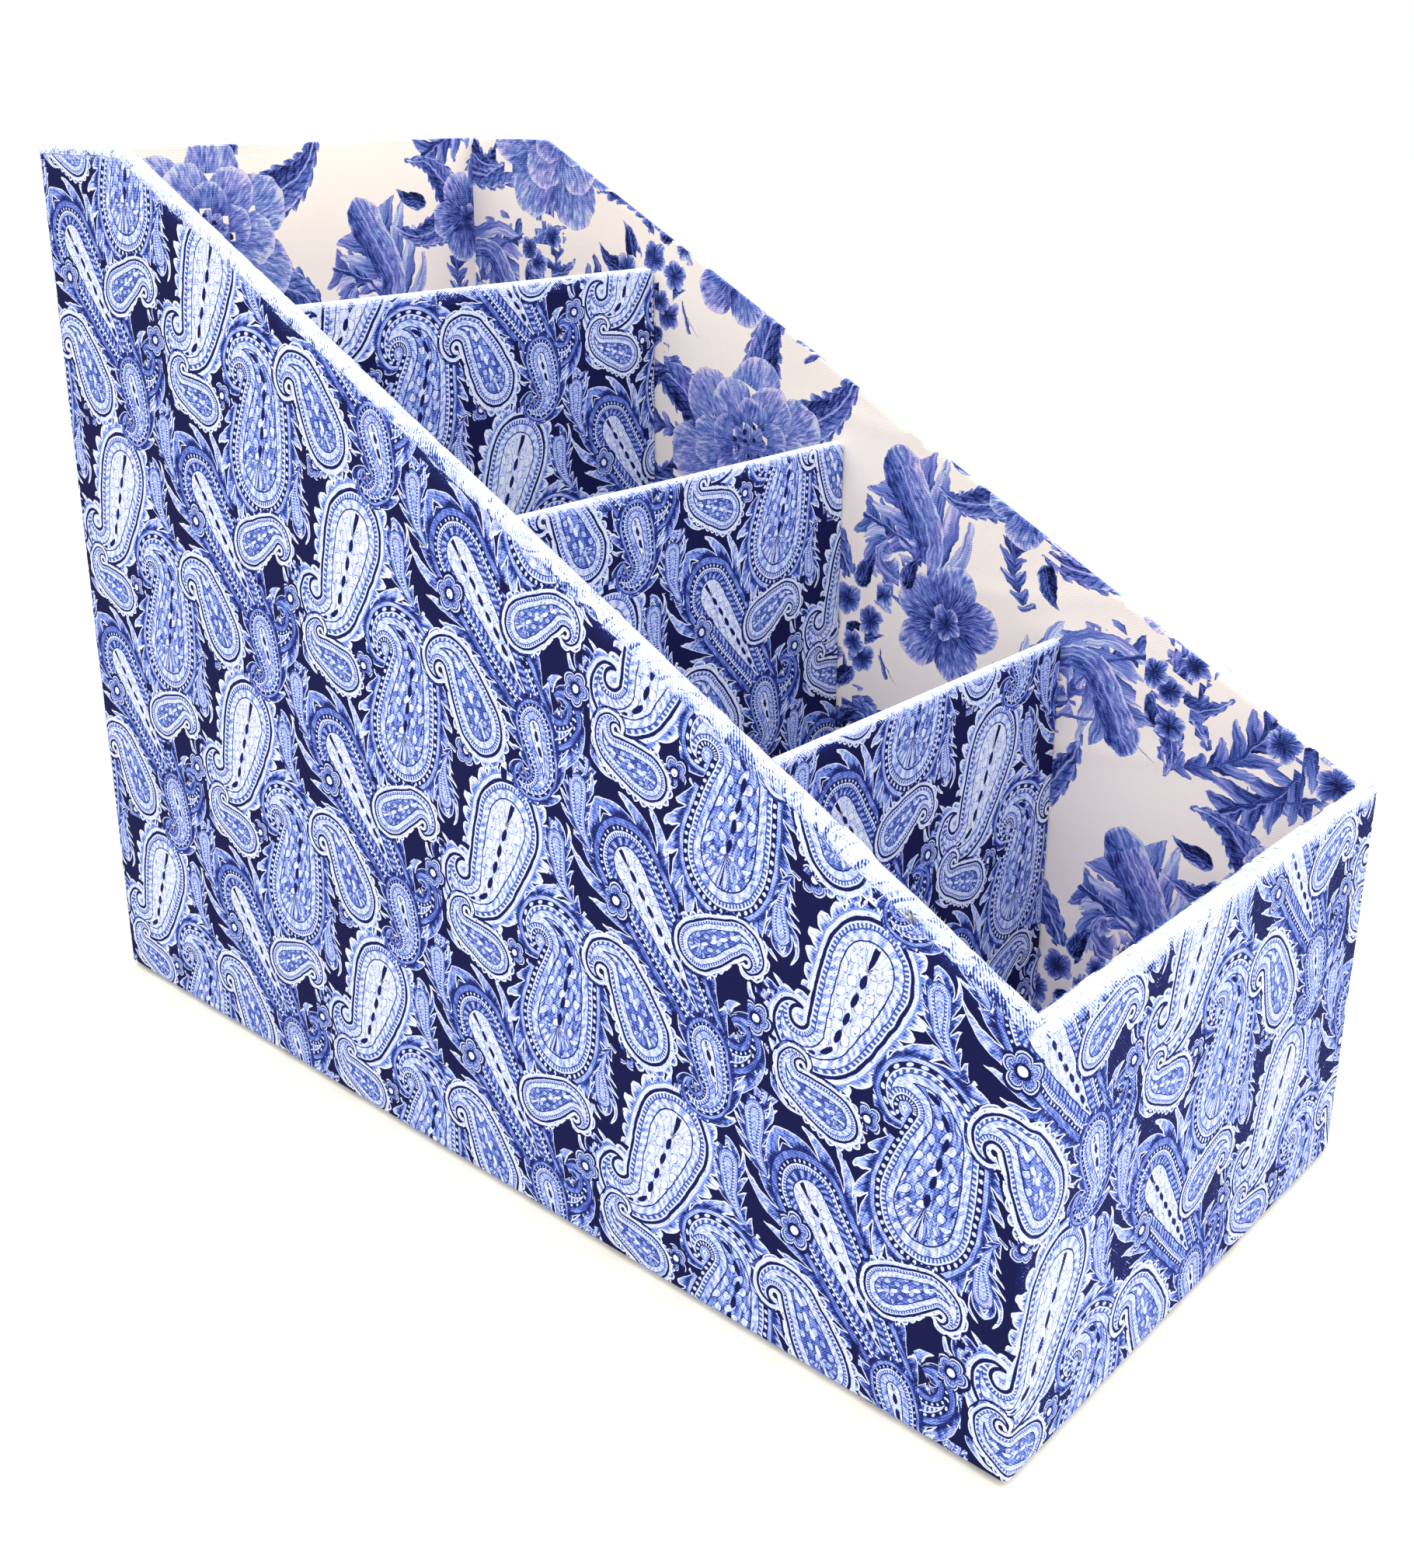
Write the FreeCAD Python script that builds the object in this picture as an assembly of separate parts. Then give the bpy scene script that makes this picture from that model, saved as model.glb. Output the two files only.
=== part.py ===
"""Desk organizer of cloth-covered board: an open box with a tall back, sloping sides, a low front
and three fixed dividers. Millimetres. +Z is up, the low front faces -Y, and the origin is the middle
of the underside. Each piece of board, card, tape or cloth is a solid of its own."""
import FreeCAD, Part
import math
import os

# Overall size, measured over the cloth
WIDTH = 150.0
DEPTH = 312.0
BACK_HEIGHT = 240.0
FRONT_HEIGHT = 100.0
LEVEL_TOP = 40.0            # level part of each side's rim at the back, before the slope starts

# Sheet materials
WALL_BOARD = 3.2
DIVIDER_BOARD = 2.0
LINING_CARD = 0.8
COVER_CARD = 0.8
CLOTH = 0.5
TAPE = 0.15

# Dividers: the middle one stands halfway, and the other two are one pitch behind and before it
DIVIDER_PITCH = 72.0
MIDDLE_DIVIDER_DROP = 18.3  # from the sloped rim straight down to the middle divider's top
DROP_STEP = 5.0             # each divider nearer the front stops this much further below the rim
DIVIDER_CORNER = 3.0        # rounding of a divider's two top corners, over the cloth

# Turned edges and seams
RIM_TURN_IN = 14.0          # how far cloth turned over a rim runs down inside, behind the lining
BASE_TURN_IN = 18.0         # how far the outer cloth runs in under the base
TAPE_WIDTH = 20.0           # width of each half of a tape, folded along its middle
LINING_DROP = 1.0           # the lining stops this far below the rim
COVER_INSET = 2.5           # the card under the base stops this far inside the walls
FLOOR_CLEARANCE = 0.3       # the floor cards drop in with this much room all round
CORNER_ROUND = 1.2          # upright corners of the box, over the cloth

# Levels, from the underside up
WRAP_BOTTOM = CLOTH + COVER_CARD
BOARD_BOTTOM = WRAP_BOTTOM + CLOTH
BASE_TOP = BOARD_BOTTOM + WALL_BOARD
FLOOR_TOP = BASE_TOP + LINING_CARD + CLOTH

# Distances in from the outside of the box
BOARD_INNER = CLOTH + WALL_BOARD
TURN_IN_INNER = BOARD_INNER + CLOTH
CARD_INNER = BOARD_INNER + LINING_CARD
LINING_INNER = CARD_INNER + CLOTH

SLOPE = (BACK_HEIGHT - FRONT_HEIGHT) / (DEPTH - LEVEL_TOP)
SLOPE_STRETCH = math.hypot(1.0, SLOPE)
BOARD_CORNER_ROUND = max(CORNER_ROUND - CLOTH, CLOTH / 2)
DIVIDER_TOP_ROUND = max(DIVIDER_CORNER, 2 * CLOTH)


def block(x_range, y_range, z_range):
    """A box between three pairs of coordinates."""
    low = FreeCAD.Vector(x_range[0], y_range[0], z_range[0])
    return Part.makeBox(x_range[1] - x_range[0], y_range[1] - y_range[0], z_range[1] - z_range[0], low)


def slope_height(y, drop):
    """Height of the sloped rim at depth y, lowered square to the slope by drop."""
    return FRONT_HEIGHT + (y + DEPTH / 2) * SLOPE - drop * SLOPE_STRETCH


def side_slab(x_range, drop, end_inset, bottom):
    """A sheet with a side's outline: rims lowered by drop, both ends drawn in, standing on bottom."""
    front = -DEPTH / 2 + end_inset
    back = DEPTH / 2 - end_inset
    level = BACK_HEIGHT - drop
    bend = -DEPTH / 2 + (level - FRONT_HEIGHT + drop * SLOPE_STRETCH) / SLOPE
    front_top = slope_height(front, drop)
    outline = [(front, bottom), (back, bottom), (back, level), (bend, level), (front, front_top)]
    points = [FreeCAD.Vector(x_range[0], y, z) for y, z in outline]
    face = Part.Face(Part.makePolygon(points + points[:1]))
    return face.extrude(FreeCAD.Vector(x_range[1] - x_range[0], 0, 0))


def centred(half):
    """The pair of coordinates of a stretch that lies evenly about the middle."""
    return (-half, half)


def wall_range(side, near, far):
    """The pair of coordinates of a sheet between two distances in from the left (-1) or right (1) outside."""
    return tuple(sorted((side * (WIDTH / 2 - near), side * (WIDTH / 2 - far))))


def end_range(end, near, far):
    """The same from the front (-1) or back (1) outside."""
    return tuple(sorted((end * (DEPTH / 2 - near), end * (DEPTH / 2 - far))))


def end_height(end):
    """Height of the front (-1) or back (1) rim."""
    return FRONT_HEIGHT if end < 0 else BACK_HEIGHT


def rounded_column(inset, bottom, radius):
    """An upright block of the box's plan, drawn in by inset, with rounded upright corners."""
    column = block(centred(WIDTH / 2 - inset), centred(DEPTH / 2 - inset), (bottom, BACK_HEIGHT))
    uprights = [edge for edge in column.Edges if abs(edge.BoundBox.ZLength - edge.Length) < edge.Length / 2]
    return column.makeFillet(radius, uprights)


def board_column():
    """The space that the boards fill in plan, inside the outer cloth."""
    return rounded_column(CLOTH, BOARD_BOTTOM, BOARD_CORNER_ROUND)


def side_board(side):
    """Left (-1) or right (1) wall, as long as the box."""
    slab = side_slab(wall_range(side, CLOTH, BOARD_INNER), CLOTH, CLOTH, BOARD_BOTTOM)
    return slab.common(board_column())


def end_board(end):
    """Front (-1) or back (1) wall, held between the side boards."""
    z_range = (BOARD_BOTTOM, end_height(end) - CLOTH)
    return block(centred(WIDTH / 2 - BOARD_INNER), end_range(end, CLOTH, BOARD_INNER), z_range)


def base_board():
    """Bottom board, inside all four walls."""
    z_range = (BOARD_BOTTOM, BASE_TOP)
    return block(centred(WIDTH / 2 - BOARD_INNER), centred(DEPTH / 2 - BOARD_INNER), z_range)


def corner_tapes():
    """Four folded tapes round the upright corners, each as tall as the lower of its two walls."""
    inside = board_column()
    outside = rounded_column(CLOTH - TAPE, BOARD_BOTTOM, BOARD_CORNER_ROUND + TAPE)
    skin = outside.cut(inside)
    tapes = []
    for side in (-1, 1):
        for end in (-1, 1):
            x_range = wall_range(side, 0, CLOTH + TAPE_WIDTH)
            y_range = end_range(end, 0, CLOTH + TAPE_WIDTH)
            z_range = (BOARD_BOTTOM, end_height(end) - CLOTH - SLOPE_STRETCH * CLOTH)
            tapes.append(skin.common(block(x_range, y_range, z_range)))
    return tapes


def base_tapes():
    """Four folded tapes along the bottom edges, between the corner tapes."""
    tapes = []
    reach = CLOTH + TAPE_WIDTH
    z_outer = (BOARD_BOTTOM - TAPE, BOARD_BOTTOM + TAPE_WIDTH)
    z_inner = (BOARD_BOTTOM, BOARD_BOTTOM + TAPE_WIDTH)
    for sign in (-1, 1):
        along = centred(DEPTH / 2 - reach)
        outer = block(wall_range(sign, CLOTH - TAPE, reach), along, z_outer)
        tapes.append(outer.cut(block(wall_range(sign, CLOTH, reach), along, z_inner)))
        across = centred(WIDTH / 2 - reach)
        outer = block(across, end_range(sign, CLOTH - TAPE, reach), z_outer)
        tapes.append(outer.cut(block(across, end_range(sign, CLOTH, reach), z_inner)))
    return tapes


def rim_turn_in(end):
    """Cloth from the front or back wall, over its rim and down the inner face."""
    across = centred(WIDTH / 2 - BOARD_INNER)
    top = end_height(end)
    over = block(across, end_range(end, 0, TURN_IN_INNER), (top - CLOTH, top))
    down = block(across, end_range(end, BOARD_INNER, TURN_IN_INNER), (top - RIM_TURN_IN, top))
    return over.fuse(down)


def outer_wrap():
    """The one strip of cloth round the four walls, with its turned edges."""
    column = rounded_column(0, WRAP_BOTTOM, CORNER_ROUND)
    below_rims = side_slab(centred(WIDTH / 2), CLOTH, 0, WRAP_BOTTOM)
    for end in (-1, 1):
        strip = block(centred(WIDTH / 2), end_range(end, 0, CLOTH), (WRAP_BOTTOM, end_height(end)))
        below_rims = below_rims.fuse(strip)
    wall = column.common(below_rims).cut(board_column())
    wall = wall.cut(block(centred(WIDTH / 2 - BASE_TURN_IN), centred(DEPTH / 2 - BASE_TURN_IN),
                          (WRAP_BOTTOM, BOARD_BOTTOM)))
    wrap = wall.fuse([rim_turn_in(-1), rim_turn_in(1)])
    for hidden in corner_tapes() + base_tapes():
        wrap = wrap.cut(hidden)
    return wrap.removeSplitter()


def rim_strip(side):
    """Binding on one side's rim: over the edge, and down the inner face behind the lining."""
    over = side_slab(wall_range(side, 0, TURN_IN_INNER), 0, CLOTH, WRAP_BOTTOM)
    over = over.cut(side_slab(wall_range(side, 0, TURN_IN_INNER), CLOTH, CLOTH, WRAP_BOTTOM))
    inner = wall_range(side, BOARD_INNER, TURN_IN_INNER)
    down = side_slab(inner, 0, TURN_IN_INNER, WRAP_BOTTOM)
    down = down.cut(side_slab(inner, RIM_TURN_IN, 0, WRAP_BOTTOM))
    ends = side_slab(inner, 0, 0, WRAP_BOTTOM)
    ends = ends.cut(side_slab(inner, 0, TURN_IN_INNER, WRAP_BOTTOM))
    return over.cut(ends).fuse(down).removeSplitter()


def side_card(side):
    """Lining card of the left or right wall, pressed over the cloth that is turned in behind it."""
    card = side_slab(wall_range(side, BOARD_INNER, CARD_INNER), LINING_DROP + CLOTH, BOARD_INNER, BASE_TOP)
    return card.cut(rim_strip(side)).cut(rim_turn_in(-1)).cut(rim_turn_in(1))


def side_cloth(side):
    """Cloth over the face and the top edge of a side's lining card."""
    sheet = side_slab(wall_range(side, BOARD_INNER, LINING_INNER), LINING_DROP, BOARD_INNER, BASE_TOP)
    card = side_slab(wall_range(side, BOARD_INNER, CARD_INNER), LINING_DROP + CLOTH, BOARD_INNER, BASE_TOP)
    return sheet.cut(card).cut(rim_strip(side)).cut(rim_turn_in(-1)).cut(rim_turn_in(1))


def end_card(end):
    """Lining card of the front or back wall, between the two side linings."""
    z_range = (BASE_TOP, end_height(end) - LINING_DROP - CLOTH)
    card = block(centred(WIDTH / 2 - LINING_INNER), end_range(end, BOARD_INNER, CARD_INNER), z_range)
    return card.cut(rim_turn_in(end))


def end_cloth(end):
    """Cloth over the face and the top edge of the front or back lining card."""
    across = centred(WIDTH / 2 - LINING_INNER)
    top = end_height(end) - LINING_DROP
    sheet = block(across, end_range(end, BOARD_INNER, LINING_INNER), (BASE_TOP, top))
    card = block(across, end_range(end, BOARD_INNER, CARD_INNER), (BASE_TOP, top - CLOTH))
    return sheet.cut(card).cut(rim_turn_in(end))


def divider_top(place):
    """Height of the divider that stands at depth place, over its cloth."""
    drop = MIDDLE_DIVIDER_DROP - DROP_STEP * place / DIVIDER_PITCH
    return slope_height(place, 0) - drop


def divider_blank(place, layer):
    """An upright sheet across the box with rounded top corners, less a layer of cloth all round."""
    half = DIVIDER_BOARD / 2 + CLOTH - layer
    across = centred(WIDTH / 2 - LINING_INNER - layer)
    sheet = block(across, (place - half, place + half), (BASE_TOP, divider_top(place) - layer))
    top_corners = [edge for edge in sheet.Edges
                   if edge.BoundBox.ZMin > BASE_TOP + DIVIDER_TOP_ROUND and edge.BoundBox.YLength > half]
    return sheet.makeFillet(DIVIDER_TOP_ROUND - layer, top_corners)


def divider_board(place):
    """The board inside one divider."""
    return divider_blank(place, CLOTH)


def divider_wrap(place):
    """Cloth folded over a divider's top edge, down both of its faces and round its two ends."""
    return divider_blank(place, 0).cut(divider_board(place))


def floor_panel(y_range, bottom, top):
    """One layer of a compartment's floor, between two walls or dividers."""
    x_range = centred(WIDTH / 2 - LINING_INNER - FLOOR_CLEARANCE)
    return block(x_range, (y_range[0] + FLOOR_CLEARANCE, y_range[1] - FLOOR_CLEARANCE), (bottom, top))


def base_cover(inset, bottom, top):
    """One layer of the covered card under the base."""
    return block(centred(WIDTH / 2 - inset), centred(DEPTH / 2 - inset), (bottom, top))


def save(node, shape):
    """Write one node, whether it is a single solid or a list of alike ones."""
    solids = shape if isinstance(shape, list) else [shape]
    result = solids[0] if len(solids) == 1 else Part.makeCompound(solids)
    result.exportStep(os.path.join("parts", node + ".step"))
    print(node, len(result.Solids), "solids,", round(result.Volume, 1), "mm3, valid:", result.isValid())


def main():
    os.makedirs("parts", exist_ok=True)

    save("base_board", base_board())
    save("corner_tape", corner_tapes())
    save("base_tape", base_tapes())
    save("outer_wrap", outer_wrap())
    for name, side in (("left", -1), ("right", 1)):
        save(name + "_side_board", side_board(side))
        save(name + "_rim_strip", rim_strip(side))
        save(name + "_lining_card", side_card(side))
        save(name + "_lining_cloth", side_cloth(side))
    for name, end in (("front", -1), ("back", 1)):
        save(name + "_board", end_board(end))
        save(name + "_lining_card", end_card(end))
        save(name + "_lining_cloth", end_cloth(end))

    cover_card = base_cover(COVER_INSET + CLOTH, CLOTH, WRAP_BOTTOM)
    save("base_cover_card", cover_card)
    save("base_cover_cloth", base_cover(COVER_INSET, 0, WRAP_BOTTOM).cut(cover_card))

    divider_half = DIVIDER_BOARD / 2 + CLOTH
    walls = [DEPTH / 2 - LINING_INNER]
    for name, steps in (("rear", 1), ("middle", 0), ("front", -1)):
        place = steps * DIVIDER_PITCH
        save(name + "_divider_board", divider_board(place))
        save(name + "_divider_wrap", divider_wrap(place))
        print(name, "divider top", round(divider_top(place), 2))
        walls += [place + divider_half, place - divider_half]
    walls.append(-DEPTH / 2 + LINING_INNER)

    card_top = BASE_TOP + LINING_CARD
    for number, (rear, front) in enumerate(zip(walls[::2], walls[1::2]), 1):
        save("floor_card_%d" % number, floor_panel((front, rear), BASE_TOP, card_top))
        save("floor_cloth_%d" % number, floor_panel((front, rear), card_top, FLOOR_TOP))
        print("compartment", number, "clear from y", front, "to", rear, "floor at", FLOOR_TOP)


main()
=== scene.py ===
# %% [markdown]
# A desk organizer of cloth-covered board. It is made by hand as boxes for books are: grey boards are
# taped into a box, printed cotton is glued over them, and thin cards covered with a second cotton line
# the inside. The boards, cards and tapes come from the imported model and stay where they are. This
# lesson makes the cloth: each sheet of it is a surface worked out with numpy, and both prints are
# painted by shader maths on the cloth's own coordinates, in millimetres of fabric.

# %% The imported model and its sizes
import math

import bpy
import numpy as np
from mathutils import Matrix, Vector


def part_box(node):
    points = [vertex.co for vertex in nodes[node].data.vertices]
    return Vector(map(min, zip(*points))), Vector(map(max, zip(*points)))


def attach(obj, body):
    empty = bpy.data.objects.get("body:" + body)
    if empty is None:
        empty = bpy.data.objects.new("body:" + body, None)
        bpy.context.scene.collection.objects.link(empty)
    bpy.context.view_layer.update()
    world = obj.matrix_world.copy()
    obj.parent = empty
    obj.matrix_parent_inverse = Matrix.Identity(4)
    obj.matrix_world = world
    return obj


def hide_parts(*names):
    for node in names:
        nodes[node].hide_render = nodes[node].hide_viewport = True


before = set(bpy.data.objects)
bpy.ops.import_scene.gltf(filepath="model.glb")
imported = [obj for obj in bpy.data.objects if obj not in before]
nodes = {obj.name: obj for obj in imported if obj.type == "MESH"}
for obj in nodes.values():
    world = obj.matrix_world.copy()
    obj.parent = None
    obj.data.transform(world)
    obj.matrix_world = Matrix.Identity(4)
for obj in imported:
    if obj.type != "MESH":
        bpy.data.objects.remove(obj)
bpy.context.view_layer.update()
MM = 0.001


def box_mm(node):
    """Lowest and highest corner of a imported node, in millimetres."""
    low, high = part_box(node)
    return np.array(low) / MM, np.array(high) / MM


# All sizes are in millimetres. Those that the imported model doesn't say are named, the rest are read.
CLOTH = 0.5
TURN_IN = 14.0
LEVEL_TOP = 40.0
HALF_WIDTH, HALF_DEPTH, BACK_HEIGHT = box_mm("outer_wrap")[1]
FRONT_HEIGHT = box_mm("front_board")[1][2] + CLOTH
WRAP_BOTTOM = box_mm("outer_wrap")[0][2]
BASE_TOP = box_mm("base_board")[1][2]
BOARD_INNER = HALF_WIDTH - box_mm("base_board")[1][0]
TURN_IN_INNER = BOARD_INNER + CLOTH
LINING_INNER = HALF_WIDTH - box_mm("back_lining_cloth")[1][0]
SLOPE = (BACK_HEIGHT - FRONT_HEIGHT) / (2 * HALF_DEPTH - LEVEL_TOP)
print("box", HALF_WIDTH * 2, HALF_DEPTH * 2, "heights", BACK_HEIGHT, FRONT_HEIGHT, "slope", round(SLOPE, 4))

# %% [markdown]
# The camera stands where the photographer stood: a little above the rim, before the left front corner.
# It could be aimed with a Track To constraint. Plain vectors are used, so that each number has a name:
# the direction from the box to the camera, the distance, and the point that is looked at. The distances
# are in heights of the box's back, so the view stays the same if the box gets another size.

# %% Camera
AZIMUTH, ELEVATION = math.radians(-47.77), math.radians(18.89)
DISTANCE = 1.8748
AIM_HEIGHT, AIM_RIGHT, AIM_UP = 0.4, 0.0178, 0.0559
LENS, SENSOR_WIDTH = 39.5, 36
SHIFT_X, SHIFT_Y = 0.0124, -0.0689
back = Vector((math.sin(AZIMUTH) * math.cos(ELEVATION), -math.cos(AZIMUTH) * math.cos(ELEVATION),
               math.sin(ELEVATION)))
right = Vector((math.cos(AZIMUTH), math.sin(AZIMUTH), 0))
upward = back.cross(right)
aim = Vector((0, 0, AIM_HEIGHT)) + right * AIM_RIGHT + upward * AIM_UP
camera = bpy.data.objects.new("camera", bpy.data.cameras.new("camera"))
camera.data.sensor_width = SENSOR_WIDTH
camera.data.lens = LENS
camera.data.shift_x, camera.data.shift_y = SHIFT_X, SHIFT_Y
camera.data.clip_start = 0.01
camera.location = aim * BACK_HEIGHT * MM + back * (DISTANCE * BACK_HEIGHT * MM)
camera.rotation_mode = "QUATERNION"
camera.rotation_quaternion = (-back).to_track_quat("-Z", "Y")
bpy.context.scene.collection.objects.link(camera)
bpy.context.scene.camera = camera
print("camera at", [round(x, 3) for x in camera.location])

# %% [markdown]
# Shader maths. A node tree gets long fast, so a small class wraps a socket: sums and products on it add
# Math nodes. The prints need the same formulas twice: on numpy arrays, to find which motif lies on which
# bit of cloth, and in the shader, to paint it. So each step is one function, calc, that takes either.

# %% A value in a shader
class Value:
    """A number or colour that varies over a surface: a socket of a node in one recipe."""

    def __init__(self, recipe, socket):
        self.recipe, self.socket = recipe, socket

    def __add__(self, other):
        return calc("ADD", self, other)

    def __sub__(self, other):
        return calc("SUBTRACT", self, other)

    def __rsub__(self, other):
        return calc("SUBTRACT", other, self)

    def __mul__(self, other):
        return calc("MULTIPLY", self, other)

    def __truediv__(self, other):
        return calc("DIVIDE", self, other)

    def __abs__(self):
        return calc("ABSOLUTE", self)

    __radd__ = __add__
    __rmul__ = __mul__


print("a value in a shader takes + - * / and abs, and each adds a Math node")

# %% A recipe: the nodes of one finish
FACTOR = 2


class Recipe:
    """The node tree of one material, or of the world."""

    def __init__(self, owner):
        self.owner = owner
        owner.use_nodes = True
        self.tree = owner.node_tree
        self.tree.nodes.clear()

    def node(self, kind, settings=(), sockets=(), output=0):
        """Add a node: its settings first, a ramp's stops among them, then its sockets' values or links."""
        made = self.tree.nodes.new(kind)
        for key, value in dict(settings).items():
            if key == "stops":
                set_stops(made.color_ramp, value)
            else:
                setattr(made, key, value)
        for key, value in dict(sockets).items():
            if isinstance(value, Value):
                self.tree.links.new(value.socket, made.inputs[key])
            else:
                made.inputs[key].default_value = value
        return Value(self, made.outputs[output] if made.outputs else None)

    def parts(self, vector):
        """The three numbers of a vector."""
        split = self.node("ShaderNodeSeparateXYZ", (), {0: vector}).socket.node
        return [Value(self, output) for output in split.outputs]

    def attribute(self, name, output=1):
        """What the mesh says under a name: its vector, or its number if the output is FACTOR."""
        return self.node("ShaderNodeAttribute", {"attribute_name": name}, (), output)

    def noise(self, place, scale, detail, roughness=0.5, output=0):
        """Noise about a half, with scale lumps in each unit of place. Output 1 is three noises at once."""
        return self.node("ShaderNodeTexNoise", (), {
            "Vector": place, "Scale": scale, "Detail": detail, "Roughness": roughness}, output)

    def grain(self, along, beside, seed):
        """Noise, 0 to 1, at two distances that say how it is stretched."""
        place = self.node("ShaderNodeCombineXYZ", (), {0: along, 1: beside, 2: seed})
        return stronger(self.noise(place, 1.0, 2.0), 1.5)

    def mix(self, share, first, second, blend="MIX"):
        """A colour between two: the first at share 0, the second, or its blend with the first, at 1."""
        settings = {"data_type": "RGBA", "blend_type": blend}
        return self.node("ShaderNodeMix", settings, {0: share, 6: first, 7: second}, 2)

    def finish(self, surface, kind="Material"):
        """Join the shader to the output, and give back what owns the tree."""
        self.node("ShaderNodeOutput" + kind, (), {"Surface": surface})
        return self.owner


def set_stops(ramp, stops):
    """Give a colour ramp its stops, from (place, colour) pairs."""
    while len(ramp.elements) < len(stops):
        ramp.elements.new(1.0)
    for element, (place, colour) in zip(ramp.elements, stops):
        element.position = place
        element.color = colour


def linear(red, green, blue):
    """A colour given in the 0 to 255 numbers of a picture, as linear light: the usual curve of screens,
    a power with a straight foot."""
    shares = np.array([red, green, blue]) / 255
    light = np.where(shares > 0.04045, ((shares + 0.055) / 1.055) ** 2.4, shares / 12.92)
    return (*light.tolist(), 1.0)


print("half grey on a screen is this much light:", round(linear(128, 128, 128)[0], 3))

# %% One formula for arrays and for shaders
ON_ARRAYS = {
    "ADD": np.add, "SUBTRACT": np.subtract, "MULTIPLY": np.multiply, "DIVIDE": np.divide,
    "MINIMUM": np.minimum, "MAXIMUM": np.maximum, "SINE": np.sin, "COSINE": np.cos,
    "SQRT": np.sqrt, "ARCTAN2": np.arctan2, "EXPONENT": np.exp, "FLOOR": np.floor,
    "FRACT": lambda a: a - np.floor(a), "POWER": lambda a, b: np.maximum(a, 0) ** b,
    "GREATER_THAN": lambda a, b: (a > b) * 1.0, "LESS_THAN": lambda a, b: (a < b) * 1.0,
}


def calc(operation, *values):
    """One step of maths: a Math node if any of the values is in a shader, and numpy's own if none is."""
    for value in values:
        if isinstance(value, Value):
            return value.recipe.node("ShaderNodeMath", {"operation": operation}, enumerate(values))
    return ON_ARRAYS[operation](*values)


def pick(share, chosen, other):
    """The chosen value where share is 1, the other where it is 0."""
    for value in (share, chosen, other):
        if isinstance(value, Value):
            return value.recipe.node("ShaderNodeMix", {"data_type": "FLOAT"}, {0: share, 2: other, 3: chosen})
    return other + share * (chosen - other)


print("half way from 2 to 4:", pick(0.5, 4.0, 2.0))

# %% Soft edges
SOFT_EDGE = 0.16


def cover(depth, soft=SOFT_EDGE):
    """1 where depth is above zero and 0 below it, over an edge soft millimetres wide."""
    if isinstance(depth, Value):
        settings = {"operation": "MULTIPLY_ADD", "use_clamp": True}
        return depth.recipe.node("ShaderNodeMath", settings, {0: depth, 1: 1 / soft, 2: 0.5})
    return np.clip(depth / soft + 0.5, 0, 1)


def over(ink, depth, paint, soft=SOFT_EDGE):
    """Ink with paint over it where depth is above zero."""
    return pick(cover(depth, soft), paint, ink)


def clamp(value):
    """The value, held between 0 and 1."""
    return calc("MINIMUM", calc("MAXIMUM", value, 0.0), 1.0)


def stronger(value, gain):
    """A number whose distance from a half is gain times as large, held between 0 and 1."""
    return clamp((value - 0.5) * gain + 0.5)


def hypot(a, b):
    """Length of the straight line to a place that lies a along and b across."""
    return calc("SQRT", a * a + b * b)


def middled(steps):
    """How far a number is from the middle between two whole ones, -0.5 to 0.5, over and over."""
    return calc("FRACT", steps) - 0.5


print("the maths runs on arrays too:", cover(np.array([-1.0, 0.0, 1.0])))

# %% [markdown]
# The paisley print. Its main figure is an old one, a teardrop whose tip curls over, drawn inside a leafy
# edge. It could be drawn by hand as an image, but then it would be pixels. Here it is one formula with
# sizes: every teardrop on the cloth is the same function with other numbers, and bands, beads, teeth and
# leaves are drawn at distances from its outline. m holds a motif's numbers by their names.

# %% The curled teardrop
CURL = 0.28
BULB = 1.15
TAPER = 0.8
INSIDE_CURL = 0.8
TURN = 2 * math.pi


def teardrop(x, y, m):
    """A teardrop with its head at the origin. The body runs straight up for its stem, then round a
    logarithmic spiral whose radius starts at its hook. Half its width is a cosine of a power of the share
    of its length that is walked, so it tapers early, and below the origin the head is half an ellipse.
    Returns the depth inside the outline, the walk along the edge, the share walked and the distance
    across from the spine."""
    to_right = m["hook"] - x
    rise = y - m["stem"]
    turn = calc("ARCTAN2", rise, to_right)
    turn = turn + calc("LESS_THAN", turn, -math.pi / 2) * TURN
    shrink = calc("EXPONENT", turn * -CURL)
    radius = hypot(to_right, rise)
    above = calc("GREATER_THAN", rise, 0.0)
    past_centre = calc("LESS_THAN", to_right, 0.0) * calc("LESS_THAN", radius, m["hook"] * INSIDE_CURL)
    curled = calc("MAXIMUM", above, past_centre)
    along = pick(curled, m["stem"] + m["hook"] * (1 - shrink) / CURL, y)
    across = pick(curled, m["hook"] * shrink - radius, x)
    share = clamp(along / m["length"])
    half = m["width"] * calc("COSINE", calc("POWER", share, TAPER) * (math.pi / 2))
    body = calc("MINIMUM", half - abs(across), m["length"] - along)
    low = along / BULB
    bulb = m["width"] - hypot(across, low)
    head = calc("LESS_THAN", along, 0.0)
    depth = pick(head, bulb, body)
    swing = calc("ARCTAN2", 0 - low, abs(across))
    walk = pick(head, swing * (0 - m["width"]), along)
    return depth, walk, share, across


sample = {"width": 10.0, "length": 40.0, "stem": 15.0, "hook": 8.0, "petals": 5.0}
print("depth in a teardrop's head:", teardrop(np.zeros(1), np.zeros(1), sample)[0])

# %% The rosette
PETAL_ROUNDNESS = 0.6
NOTCH, LOBE = 0.66, 0.34


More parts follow.
